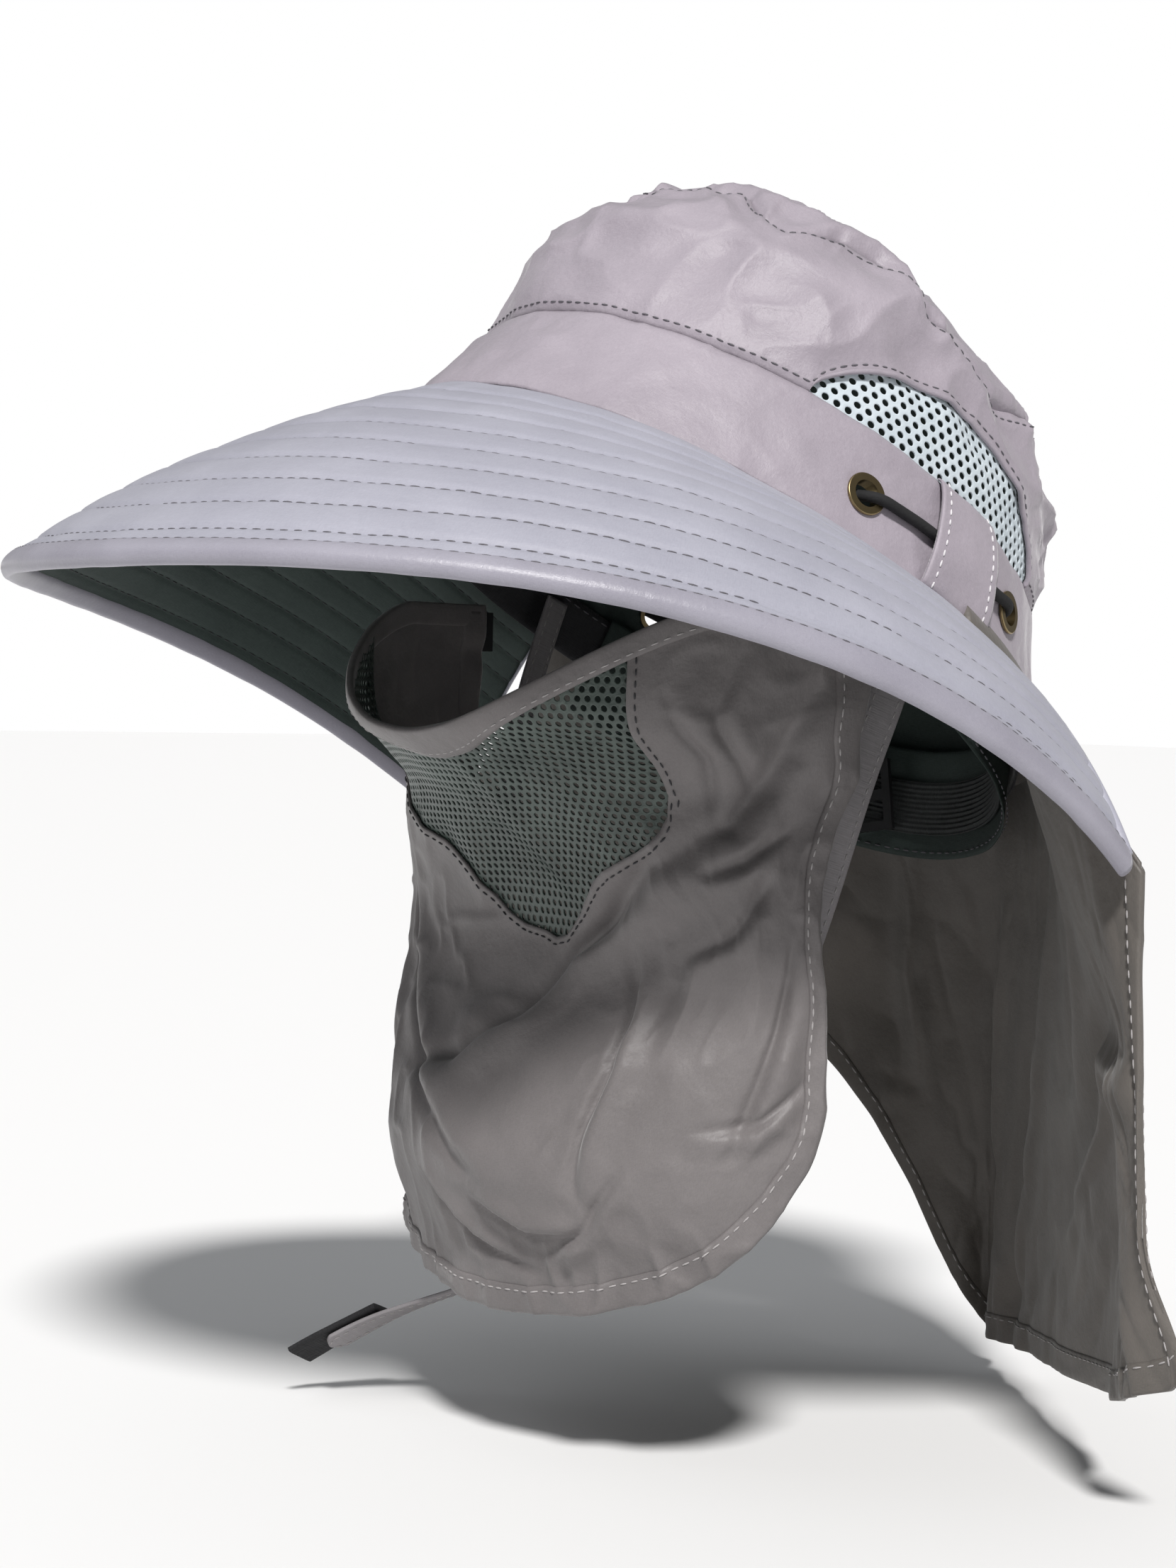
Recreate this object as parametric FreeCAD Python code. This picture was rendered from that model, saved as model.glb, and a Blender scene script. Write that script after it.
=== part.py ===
import FreeCAD, Part
import math
import os

# Wide-brimmed sun hat with face mask, neck flap, chin strap and adjusting cord.
# Millimetres. +Z is up, -Y is the wearer's front, +X the wearer's left.
# The origin is the centre of the head opening. The hat itself is drawn level,
# then tipped back so that its front is raised; mask, flap and straps hang down.

V = FreeCAD.Vector

hat_tip = 30.0            # degrees that the hat's front is raised
head_half_width = 81.0    # head opening, side to side
head_half_length = 99.0   # head opening, front to back

crown_height = 96.0
crown_half_width = 74.5   # crown above the band, before it rounds over
crown_half_length = 86.5
crown_lean = 7.3          # how far the top sits forward of the opening
crown_power = 2.6         # how late the crown rounds over
crown_round = 3.43
band_height = 30.0
top_seam = 72.0           # height of the seam round the oval top
cloth = 1.4               # crown cloth with its lining

brim_front = 113.5        # brim width at the front
brim_side = 76.7
brim_drop_front = 53.3    # degrees below the hat's own plane
brim_drop_side = 35.2
brim_camber = 6.0
tail_at_crown = 94.0      # degrees from the front where the brim's tails end
tail_at_edge = 105.4
binding_width = 4.6

vent_start, vent_end = 60.0, 124.0     # degrees from the front
vent_height = 21.0
eyelet_spots = [(75.0, 12.5), (112.0, 15.5)]
rear_eyelet_spot = (156.0, 14.0)
eyelet_outer, eyelet_bore = 5.5, 3.5
cord_radius = 1.4
sweatband_inset = 2.2
liner_depth = 4.4         # liner, webbing and slider lie inside one another
webbing_depth = 6.0
slider_depth = 9.9
tab_start, tab_end = 88.0, 102.0

mask_end = 80.0           # degrees from the front where the mask's sides end
mask_cloth = 1.6
# height, half width, squareness, centre offset, front
mask_rows = [(10, 82.5, 2.0, 0, -100), (-20, 82.5, 2.0, 0, -101), (-34, 82, 2.0, -3, -98),
             (-42, 82, 2.0, -5, -87), (-50, 81, 2.0, -9, -78), (-65, 80, 2.7, -13, -66),
             (-82, 80, 3.4, -14, -57), (-100, 80, 2.8, -14, -60), (-118, 80, 2.3, -14, -71),
             (-142, 80, 2.0, -14, -80), (-165, 80, 2.0, -14, -71), (-185, 80, 2.0, -14, -66)]
mask_top_front, mask_top_side = -36.0, -2.0
mask_top_angle = 62.0     # degrees from the front where the top edge levels out
mask_side_bottom, mask_round = -120.0, 61.0
mesh_half_angle = 40.0
mesh_side_bottom, mesh_tip_drop = -62.0, 25.0
edge_width = 7.5          # width of hems and bindings

flap_cloth = 1.6
flap_corner = (140.0, 15.0, -62.0)
flap_tail = 97.5          # degrees from the front where the flap meets the crown's side
flap_gap_side, flap_gap_rear = 8.0, 17.0   # flap panel starts this far below its seam
flap_bottom_left, flap_bottom_rear, flap_bottom_right = -182.0, -207.0, -118.0

strap_width, strap_cloth = 10.0, 1.4
strap_left_route = [(73.5, 3, 0), (75.5, -4, -18), (74, -13, -42), (68, -27, -90),
                    (42, -38, -140), (4, -43, -170), (-36, -45, -182)]
strap_right_route = [(-73.5, 3, 0), (-75.5, -6, -30), (-72, -17, -80), (-66, -29, -130), (-56, -36, -168)]
strap_tip_route = [(-38, -45.5, -183), (-48, -51, -187.5), (-60, -60, -194), (-72, -70, -203)]
strap_pad_route = [(-60, -60, -194), (-66, -65, -198.4), (-72, -70, -203), (-78, -75.2, -208)]

lock_radius, lock_height = 7.0, 19.0
lock_bore = 5.0
lock_reach = 10.5         # lock's axis stands this far behind the band
plunger_travel = 2.6
spring_radius, spring_wire = 3.4, 0.35


def keep(name, shape):
    """Write one node."""
    if shape.Volume < 0:
        shape.reverse()
    shape.exportStep("parts/" + name + ".step")
    print(name, "volume", round(shape.Volume), "solids", len(shape.Solids), "valid", shape.isValid())


def tipped(shape):
    shape.rotate(V(0, 0, 0), V(1, 0, 0), -hat_tip)
    return shape


def mirrored(shape):
    return shape.mirror(V(0, 0, 0), V(1, 0, 0))


def group(shapes):
    return Part.makeCompound(shapes)


def sheet(outer, inner):
    """Closed solid between two grids of points that have the same counts."""
    skins = []
    for grid in (outer, inner):
        surface = Part.BSplineSurface()
        surface.interpolate(grid)
        skins.append(surface)
    faces = [surface.toShape() for surface in skins]
    u1, u2, v1, v2 = skins[0].bounds()
    w1, w2, x1, x2 = skins[1].bounds()
    rims = [(skins[0].uIso(u), skins[1].uIso(w)) for u, w in ((u1, w1), (u2, w2))]
    rims += [(skins[0].vIso(v), skins[1].vIso(x)) for v, x in ((v1, x1), (v2, x2))]
    faces += [Part.makeRuledSurface(a.toShape(), b.toShape()) for a, b in rims]
    shell = Part.Compound(faces)
    shell.sewShape(0.01)
    solid = Part.Solid(shell.Shells[0])
    if solid.Volume < 0:
        solid.reverse()
    return solid


def steps(start, end, count):
    return [start + (end - start) * i / count for i in range(count + 1)]


def turn(point):
    """A point of the level hat, moved to where the tipped hat holds it."""
    return FreeCAD.Rotation(V(1, 0, 0), -hat_tip).multVec(point)


def blend_rows(rows, z):
    """Smooth values between the rows of a table that runs from high to low."""
    z = max(min(z, rows[0][0]), rows[-1][0])
    at = next(i for i in range(len(rows) - 1) if z >= rows[i + 1][0])
    before, high, low, after = [rows[max(0, min(i, len(rows) - 1))] for i in range(at - 1, at + 3)]
    gap = low[0] - high[0]
    part = (z - high[0]) / gap
    values = []
    for w, a, b, x in zip(before[1:], high[1:], low[1:], after[1:]):
        leave = (b - w) / (low[0] - before[0]) * gap
        arrive = (x - a) / (after[0] - high[0]) * gap
        values.append(a + part * leave + part ** 2 * (3 * (b - a) - 2 * leave - arrive)
                      + part ** 3 * (2 * (a - b) + leave + arrive))
    return values


# crown

def crown_ring(height):
    """Half width, half length and centre offset of the crown at a height."""
    rise = max(height, 0) / crown_height
    taper = (1 - rise ** crown_power) ** (1 / crown_round)
    flare = 1 - min(1, height / band_height)
    side = (head_half_width - crown_half_width) * flare
    front = (head_half_length - crown_half_length) * flare
    return (crown_half_width + side) * taper, (crown_half_length + front) * taper, -crown_lean * rise


def ring_wire(height, inset):
    a, b, y = crown_ring(height)
    middle = V(0, y, height)
    curve = Part.Ellipse(middle + V(0, b - inset, 0), middle + V(a - inset, 0, 0), middle)
    return Part.Wire([curve.toShape()])


def crown_shell(heights, inset, thickness):
    outer = Part.makeLoft([ring_wire(h, inset) for h in heights], True)
    inner = Part.makeLoft([ring_wire(h, inset + thickness) for h in heights], True)
    return outer.cut(inner)


def crown_point(angle, height, out=0.0):
    """A point on the crown, degrees from the front towards the wearer's left."""
    a, b, y = crown_ring(height)
    turn_by = math.radians(angle)
    return V(a * math.sin(turn_by), y - b * math.cos(turn_by), height) + crown_normal(angle, height) * out


def crown_normal(angle, height):
    a, b, y = crown_ring(height)
    a2, b2, y2 = crown_ring(height + 1)
    turn_by = math.radians(angle)
    along = V(a * math.cos(turn_by), b * math.sin(turn_by), 0)
    up = V((a2 - a) * math.sin(turn_by), y2 - y - (b2 - b) * math.cos(turn_by), 1)
    return along.cross(up).normalize()


def crown_strip(start, end, low, high, inset, thickness, count=12):
    """A strip of the crown between two angles and two heights."""
    angles, heights = steps(start, end, count), steps(low, high, 3)
    outer = [[crown_point(a, h, -inset) for h in heights] for a in angles]
    inner = [[crown_point(a, h, -inset - thickness) for h in heights] for a in angles]
    return sheet(outer, inner)


def vent_block():
    """Half-moon block that cuts the vent window through the left wall."""
    grids = []
    for out in (6, -10):
        grid = []
        for part in steps(0, 1, 16):
            angle = vent_start + (vent_end - vent_start) * part
            rise = 0.5 + (vent_height - 0.5) * math.sin(math.pi * part) ** 0.6
            low = band_height + 0.7
            grid.append([crown_point(angle, low + rise * share, out) for share in (0, 0.33, 0.67, 1)])
        grids.append(grid)
    return sheet(*grids)


def make_crown():
    heights = [band_height + 0.2, 42, 54, 64, top_seam]
    wall = crown_shell(heights, 0, cloth)
    mesh = crown_shell(heights, 0.3, 0.8)
    block = vent_block()
    for side in (block, mirrored(block)):
        wall = wall.cut(side)
    keep("crown_wall", tipped(wall))
    left = mesh.common(block)
    keep("vent_mesh_left", tipped(left.copy()))
    keep("vent_mesh_right", tipped(mirrored(mesh.common(block))))

    a, b, y = crown_ring(top_seam + 0.2)
    rise = crown_height - top_seam - 0.2
    part = 0.29                                   # share of the ellipsoid below the cut
    spread = math.sqrt(1 - part ** 2)
    tall = rise / (1 - part)
    shells = []
    for inset in (0, cloth):
        ball = Part.makeSphere(1)
        sizes = FreeCAD.Matrix()
        sizes.scale(a / spread - inset, b / spread - inset, tall - inset)
        ball = ball.transformGeometry(sizes)
        ball.translate(V(0, y, crown_height - tall))
        shells.append(ball)
    above = Part.makeBox(300, 300, 100, V(-150, -150, top_seam + 0.2))
    keep("crown_top", tipped(shells[0].cut(shells[1]).common(above)))


def along_normal(shape, angle, height, out=0.0):
    """Place a shape drawn on the origin, with its Z along the crown's normal."""
    shape.Placement = FreeCAD.Placement(crown_point(angle, height, out),
                                        FreeCAD.Rotation(V(0, 0, 1), crown_normal(angle, height)))
    return shape


def eyelet(angle, height):
    barrel = Part.makeCylinder(eyelet_bore + 0.5, cloth + 1.2, V(0, 0, -cloth - 0.6))
    flange = Part.makeCylinder(eyelet_outer, 0.9, V(0, 0, 0.3))
    flange = flange.makeFillet(0.35, flange.Edges)
    back = Part.makeCylinder(eyelet_outer - 0.8, 0.5, V(0, 0, -cloth - 0.9))
    bore = Part.makeCylinder(eyelet_bore, 8, V(0, 0, -4))
    return along_normal(barrel.fuse([flange, back]).cut(bore), angle, height)


def make_band():
    band = crown_shell([0.15, 10, 20, band_height], 0, cloth)
    spots = eyelet_spots + [rear_eyelet_spot]
    for angle, height in spots:
        hole = Part.makeCylinder(eyelet_bore + 0.6, 8, V(0, 0, -4))
        hole = along_normal(hole, angle, height)
        band = band.cut(hole).cut(mirrored(hole))
    keep("crown_band", tipped(band))
    side = group([eyelet(*spot) for spot in eyelet_spots])
    rear = eyelet(*rear_eyelet_spot)
    keep("eyelets_left", tipped(side.copy()))
    keep("eyelets_right", tipped(mirrored(side)))
    keep("eyelets_rear", tipped(group([rear, mirrored(rear)])))
    keep("sweatband", tipped(crown_shell([-8, -3, 2, 7], sweatband_inset, 1.2)))
    keep("rear_liner", tipped(crown_strip(104, 256, -20, 8, liner_depth, 0.8, 24)))
    keep("size_webbing", tipped(crown_strip(128, 232, -14, 0, webbing_depth, 1.1, 20)))

    frame = Part.makeBox(18, 20, 1.6, V(-9, -10, 0))
    for y in (-7.5, 1.5):
        frame = frame.cut(Part.makeBox(13, 6, 4, V(-6.5, y, -1)))
    keep("size_slider", tipped(along_normal(frame, 196, -7, -slider_depth)))

    tab = crown_strip(tab_start, tab_end, 2.2, band_height - 1.5, -4.7, 0.9, 6)
    keep("cord_tab_left", tipped(tab.copy()))
    keep("cord_tab_right", tipped(mirrored(tab)))


# adjusting cord and its lock

def rounded_tube(points, radius):
    """A tube along straight runs joined by arcs as large as the runs allow."""
    edges = []
    begin = points[0]
    radii = []
    for before, corner, after in zip(points, points[1:], points[2:]):
        back, ahead = (before - corner), (after - corner)
        run = 0.45 * min(back.Length, ahead.Length)
        turn_angle = math.pi - back.getAngle(ahead)
        first, last = corner + back.normalize() * run, corner + ahead.normalize() * run
        size = run / math.tan(turn_angle / 2)
        radii.append(round(size, 1))
        middle = corner + ((first + last) * 0.5 - corner).normalize() * (
            size / math.cos(turn_angle / 2) - size)
        edges.append(Part.LineSegment(begin, first).toShape())
        edges.append(Part.Arc(first, middle, last).toShape())
        begin = last
    edges.append(Part.LineSegment(begin, points[-1]).toShape())
    path = Part.Wire(edges)
    start_dir = (points[1] - points[0]).normalize()
    circle = Part.Wire([Part.Circle(points[0], start_dir, radius).toShape()])
    tube = path.makePipeShell([circle], True, True)
    print("cord arcs", min(radii), "to", max(radii), "length", round(path.Length, 1),
          "volume ratio", round(tube.Volume / (path.Length * math.pi * radius ** 2), 3))
    return tube


def cord_half():
    """Cord centre line on the left half, from its knotted end to the rear middle."""
    deep = -cloth - 1.9
    (first_angle, first_height), (second_angle, second_height) = eyelet_spots
    route = [(first_angle - 9, first_height + 0.5, deep - 0.3), (first_angle - 1.6, first_height, deep - 0.3),
             (first_angle + 1.6, first_height, 2.6)]
    for part in (0.33, 0.55, 0.78):
        angle = first_angle + (second_angle - first_angle) * part
        route.append((angle, first_height + 2 - 0.5 * part, 2.0))
    route += [(second_angle - 1.6, second_height, 2.6), (second_angle + 1.6, second_height, deep - 0.3)]
    rear_angle, rear_height = rear_eyelet_spot
    for part in (0.22, 0.4, 0.6, 0.8):
        angle = second_angle + (rear_angle - second_angle) * part
        route.append((angle, second_height, deep - 0.3))
    route += [(rear_angle - 1.8, rear_height, deep - 0.3), (rear_angle + 2.0, rear_height, 3.4)]
    points = [crown_point(*spot) for spot in route]
    middle = lock_middle()
    points += [middle + V(15, 0, 0)]
    return points


def lock_middle():
    """The lock's centre on the level hat."""
    return crown_point(180, rear_eyelet_spot[1], lock_reach)


def make_cord():
    left = [turn(point) for point in cord_half()]
    right = [V(-point.x, point.y, point.z) for point in reversed(left)]
    keep("adjusting_cord", rounded_tube(left + right, cord_radius))
    ends = []
    for end, inner in ((left[0], left[1]), (right[-1], right[-2])):
        ends.append(Part.makeSphere(1.9, end + (end - inner).normalize() * 2.0))
    keep("cord_end_knots", group(ends))


def make_lock():
    centre = turn(lock_middle())
    base = centre - V(0, 0, lock_height / 2 + 1)
    barrel = Part.makeCylinder(lock_radius, lock_height, base)
    barrel = barrel.makeFillet(1.2, barrel.Edges)
    well = Part.makeCylinder(lock_bore, lock_height, base + V(0, 0, 1.6))
    across = Part.makeCylinder(cord_radius + 0.6, 40, centre - V(20, 0, 0), V(1, 0, 0))
    barrel = barrel.cut(well).cut(across)
    keep("lock_barrel", barrel)

    top = base.z + lock_height
    stem_low = centre.z - 4.2
    stem_top = top + plunger_travel + 0.6
    stem = Part.makeCylinder(lock_bore - 0.35, stem_top - stem_low, V(0, centre.y, stem_low))
    cap = Part.makeCylinder(lock_radius - 0.8, 3.2, V(0, centre.y, stem_top - 0.1))
    cap = cap.makeFillet(1.1, [cap.Edges[0]])
    half = cord_radius + 0.6
    slot = Part.makeBox(40, 2 * half, 2 * half + plunger_travel, V(-20, centre.y - half, centre.z - half))
    keep("lock_plunger", stem.fuse(cap).cut(slot))

    spring_low = base.z + 1.6 + spring_wire + 0.05
    spring_high = stem_low - spring_wire - 0.05
    height = spring_high - spring_low
    helix = Part.makeHelix(height / 2.5, height, spring_radius)
    wire = Part.Wire([Part.Circle(V(spring_radius, 0, 0), V(0, 1, 0), spring_wire).toShape()])
    spring = Part.Wire(helix.Edges).makePipeShell([wire], True, True)
    spring.translate(V(0, centre.y, spring_low))
    keep("lock_spring", spring)
    print("lock centre", centre, "spring", spring_low, "to", spring_high)


# brim

def brim_point(side, reach, lift):
    """side -1..1 round the brim, reach 0..1 from crown to edge, lift above the underside."""
    def edge_point(angle, out):
        turn_by = math.radians(angle)
        share = math.sin(turn_by) ** 2
        width = (brim_front + (brim_side - brim_front) * share) * out
        drop = math.radians(brim_drop_front + (brim_drop_side - brim_drop_front) * share)
        start = V(head_half_width * math.sin(turn_by), -head_half_length * math.cos(turn_by), 0)
        away = V(math.sin(turn_by) / head_half_width, -math.cos(turn_by) / head_half_length, 0).normalize()
        up = away * math.sin(drop) + V(0, 0, math.cos(drop))
        return start + away * (width * math.cos(drop)) - V(0, 0, width * math.sin(drop)), up
    inner, up = edge_point(side * tail_at_crown, 0.004)
    outer, up_outer = edge_point(side * tail_at_edge, 1.0)
    rise = brim_camber * 4 * min(reach, 1) * (1 - min(reach, 1))
    normal = (up * (1 - reach) + up_outer * reach).normalize()
    return inner + (outer - inner) * reach + normal * (lift + rise - 3.2)


def brim_sheet(low, high, start, end, rows):
    grids = []
    for lift in (high, low):
        grids.append([[brim_point(side, reach, lift) for reach in steps(start, end, rows)]
                      for side in steps(-1, 1, 28)])
    return sheet(*grids)


def make_brim():
    keep("brim_lining", tipped(brim_sheet(0.0, 0.8, 0.045, 0.985, 4)))
    keep("brim_stiffener", tipped(brim_sheet(0.9, 2.3, 0.03, 0.985, 4)))
    keep("brim_cover", tipped(brim_sheet(2.4, 3.2, 0.0, 0.985, 4)))
    keep("brim_binding", tipped(brim_sheet(-0.7, 4.0, 0.988, 1.024, 3)))


# face mask

def mask_point(angle, z, inset=0.0):
    half_width, square, offset, front = blend_rows(mask_rows, z)
    turn_by = math.radians(angle)
    power = 2 / square
    across = math.copysign(abs(math.sin(turn_by)) ** power, turn_by)
    ahead = math.cos(turn_by) ** power
    depth = -front + offset
    point = V((half_width - inset) * across, offset - (depth - inset) * ahead, z)
    return point


def mask_top(angle):
    share = min(abs(angle) / mask_top_angle, 1)
    return mask_top_side + (mask_top_front - mask_top_side) * math.cos(math.pi / 2 * share) ** 1.5


def mask_bottom(angle):
    share = min(abs(angle) / mask_end, 1)
    return mask_side_bottom - mask_round * math.sqrt(1 - share ** 2)


def mesh_bottom(angle):
    share = min(abs(angle) / mesh_half_angle, 1)
    return mesh_side_bottom - mesh_tip_drop * (1 - share ** 1.5)


def mask_strip(angles, top, bottom, inset, thickness, rows=16):
    """A closed sheet of the mask between two edges given as functions of the angle."""
    grids = []
    for depth in (inset, inset + thickness):
        grids.append([[mask_point(angle, z, depth) for z in steps(top(angle), bottom(angle), rows)]
                      for angle in angles])
    return sheet(*grids)


def make_mask():
    gap = 1.6                                      # degrees between neighbouring panels
    top = lambda angle: mask_top(angle) - edge_width - 1.3
    hem_top = lambda angle: mask_bottom(angle) + edge_width + 1.2
    mesh = steps(-mesh_half_angle, mesh_half_angle, 16)
    keep("mask_mesh", mask_strip(mesh, top, mesh_bottom, 0.2, 1.2, 10))

    low = lambda angle: mesh_bottom(angle) - 0.8
    middle = mask_strip(mesh, low, hem_top, 0, mask_cloth, 14)
    outer = steps(mesh_half_angle + gap, mask_end - 6.4, 16)
    side = mask_strip(outer, top, hem_top, 0, mask_cloth)
    keep("mask_panel_left", side.copy())
    keep("mask_panel_right", mirrored(side))
    keep("mask_chin_panel", middle)

    across = steps(-mask_end, mask_end, 40)
    keep("mask_binding", mask_strip(across, mask_top, lambda a: top(a) + 1.3, -0.4, 2.4, 3))
    span = steps(-mask_end + 6.0, mask_end - 6.0, 44)
    bottom = mask_strip(span, lambda a: hem_top(a) - 1.2, mask_bottom, -0.3, 2.2, 3)
    sides = []
    for sign in (-1, 1):
        angles = [sign * a for a in steps(mask_end - 5.2, mask_end, 3)]
        sides.append(mask_strip(angles, top, lambda a: mask_bottom(sign * (mask_end - 6.0)), -0.3, 2.2, 12))
    keep("mask_hem", group([bottom] + sides))

    hook = Part.makeBox(1.1, 20, 11, V(83.9, -32, -15))
    loop = Part.makeBox(1.1, 20, 11, V(85.3, -32, -15))
    keep("mask_hook_patches", group([hook, mirrored(hook)]))
    keep("mask_loop_patches", group([loop, mirrored(loop)]))


# neck flap

def flap_path(side):
    """Top and bottom points of the flap, side 1 at the left hem, 0 at the rear, -1 at the right."""
    size = abs(side)
    corner_share = 0.7
    corner = V(*flap_corner)
    crown_tail = turn(crown_point(flap_tail, 0, 3.2))
    if size >= corner_share:
        part = (size - corner_share) / (1 - corner_share)
        top = crown_tail + (corner - crown_tail) * part
    else:
        angle = 180 - (180 - flap_tail) * size / corner_share
        top = turn(crown_point(angle, 0, 3.2))
    bow = math.pi / 2 * size
    low_z = flap_bottom_rear + (flap_bottom_left - flap_bottom_rear) * size ** 2
    if side < 0:
        rise = math.sin(math.pi / 2 * min(1, size / 0.47)) ** 2
        low_z = flap_bottom_rear + (flap_bottom_right - flap_bottom_rear) * rise
    power = 1.8
    bottom = V(142 * math.sin(bow) ** power, 14 + 92 * math.cos(bow) ** power, low_z)
    if side < 0:
        top, bottom = V(-top.x, top.y, top.z), V(-bottom.x, bottom.y, bottom.z)
    return top, bottom


def flap_point(side, down, out):
    """down in mm below the seam, out from the cloth's inner face."""
    top, bottom = flap_path(side)
    drop = top.z - bottom.z
    part = min(down / drop, 1)
    ease = 1 - (1 - part) ** 2.2
    point = V(top.x + (bottom.x - top.x) * ease, top.y + (bottom.y - top.y) * ease, top.z - down)
    before, after = flap_path(max(side - 0.02, -1)), flap_path(min(side + 0.02, 1))
    ahead = (after[0] - before[0]) * (1 - ease) + (after[1] - before[1]) * ease
    away = V(-ahead.y, ahead.x, 0).normalize() * -1
    return point + away * out


def flap_strip(sides, top, bottom, low, high, rows=6):
    grids = []
    for out in (high, low):
        grids.append([[flap_point(side, down, out) for down in steps(top(side), bottom(side), rows)]
                      for side in sides])
    return sheet(*grids)


def flap_length(side):
    top, bottom = flap_path(side)
    return top.z - bottom.z


def flap_top(side):
    return flap_gap_rear + (flap_gap_side - flap_gap_rear) * abs(side)


def make_flap():
    hem_share = 0.035
    sides = steps(-1 + hem_share, 1 - hem_share, 44)
    panel = flap_strip(sides, flap_top, lambda s: flap_length(s) - edge_width - 0.8, 0.3, 1.9, 6)
    keep("flap_panel", panel)
    strip = flap_strip(steps(-0.98, 0.98, 44), lambda s: 2.6, lambda s: 5.6, 0.4, 1.8, 3)
    keep("flap_seam_strip", strip)
    bottom = flap_strip(steps(-1, 1, 44), lambda s: flap_length(s) - edge_width, flap_length, 0, 2.2, 3)
    ends = []
    for start, end in ((-1, -1 + hem_share - 0.008), (1 - hem_share + 0.008, 1)):
        ends.append(flap_strip(steps(start, end, 3), flap_top,
                               lambda s: flap_length(s) - edge_width - 0.8, 0, 2.2, 6))
    keep("flap_hem", group([bottom] + ends))


# chin strap

def strap(route, width, low, high, across):
    """A flat strap along a route; across is the direction of its width."""
    curve = Part.BSplineCurve()
    curve.interpolate([V(*point) for point in route])
    first, last = curve.FirstParameter, curve.LastParameter
    grids = ([], [])
    for place in steps(first, last, 18):
        point = curve.value(place)
        ahead = curve.tangent(place)[0]
        side = (V(*across) - ahead * ahead.dot(V(*across))).normalize()
        face = ahead.cross(side)
        for grid, lift in zip(grids, (high, low)):
            grid.append([point + side * s * width / 2 + face * lift for s in (-1, 0, 1)])
    return sheet(*grids)


def make_strap():
    half = strap_cloth / 2
    keep("strap_left", strap(strap_left_route, strap_width, -half, half, (0.3, 1, 0.2)))
    keep("strap_right", strap(strap_right_route, strap_width, -half, half, (-0.3, 1, 0.2)))
    keep("strap_tongue", strap(strap_tip_route, strap_width, 0.9, 2.3, (0.3, 1, 0.2)))
    keep("strap_hook_pad", strap(strap_pad_route, strap_width + 2, -1.3, 0.4, (0.3, 1, 0.2)))


os.makedirs("parts", exist_ok=True)
make_crown()
make_band()
make_cord()
make_lock()
make_brim()
make_mask()
make_flap()
make_strap()
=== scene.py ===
import math
from itertools import product

import bmesh
import bpy
import numpy as np
from mathutils import Matrix, Vector


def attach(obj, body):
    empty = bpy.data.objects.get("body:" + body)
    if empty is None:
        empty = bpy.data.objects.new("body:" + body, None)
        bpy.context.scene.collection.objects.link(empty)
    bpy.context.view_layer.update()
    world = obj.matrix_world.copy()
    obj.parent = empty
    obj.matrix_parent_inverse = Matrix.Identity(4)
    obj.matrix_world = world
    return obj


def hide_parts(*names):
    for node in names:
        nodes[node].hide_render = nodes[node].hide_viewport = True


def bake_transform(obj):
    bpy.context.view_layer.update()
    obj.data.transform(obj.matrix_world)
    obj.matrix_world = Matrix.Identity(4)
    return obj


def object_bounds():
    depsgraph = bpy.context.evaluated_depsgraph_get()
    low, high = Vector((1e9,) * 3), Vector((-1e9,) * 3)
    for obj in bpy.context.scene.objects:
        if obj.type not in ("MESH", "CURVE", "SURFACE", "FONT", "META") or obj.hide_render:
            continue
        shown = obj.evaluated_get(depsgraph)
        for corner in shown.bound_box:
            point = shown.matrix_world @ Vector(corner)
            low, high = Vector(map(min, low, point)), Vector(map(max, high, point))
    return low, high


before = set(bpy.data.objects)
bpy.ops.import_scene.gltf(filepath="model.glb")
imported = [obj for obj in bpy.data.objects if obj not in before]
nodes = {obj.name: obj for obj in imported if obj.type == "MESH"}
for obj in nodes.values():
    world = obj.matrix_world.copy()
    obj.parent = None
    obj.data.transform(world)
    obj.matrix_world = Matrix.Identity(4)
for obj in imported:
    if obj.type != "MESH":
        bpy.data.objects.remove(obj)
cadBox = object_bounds()
print("frame loaded with", len(nodes), "nodes")

# Lengths in the dictionaries are millimetres and angles are degrees from the
# wearer's front, positive towards the left. Meshes are written in metres.


def spread(low, high, count):
    return np.linspace(low, high, count + 1)


def easeBetween(value, low, high):
    share = np.clip((value - low) / (high - low), 0, 1)
    return share * share * (3 - 2 * share)


def bell(value, width):
    return np.exp(-((value / width) ** 2))


def clothNoise(points, size, seed):
    # soft lumps between -1 and 1, about size apart
    place = points / size + seed * 17.31
    cell = np.floor(place).astype(np.int64)
    part = place - cell
    part = part**3 * (part * (part * 6 - 15) + 10)
    total = np.zeros(points.shape[:-1])
    for corner in product((0, 1), repeat=3):
        at = cell + np.array(corner)
        key = (at[..., 0] * 73856093) ^ (at[..., 1] * 19349663) ^ (at[..., 2] * 83492791) ^ (seed * 7919)
        key = ((key ^ (key >> 13)) * 1274126177) & 0xFFFFFFFF
        value = ((key ^ (key >> 15)) & 0xFFFF) / 32767.5 - 1
        total += value * np.prod(np.where(np.array(corner) == 1, part, 1 - part), axis=-1)
    return total


def creaseNoise(points, size, seed):
    # crisp ridges with soft hollows between them, about -1 to 1
    bent = points + np.stack([clothNoise(points, size * 1.3, seed + k) for k in (1, 2, 3)], -1) * size * 0.35
    return 1 - 2.6 * np.abs(clothNoise(bent, size, seed + 4))


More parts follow.
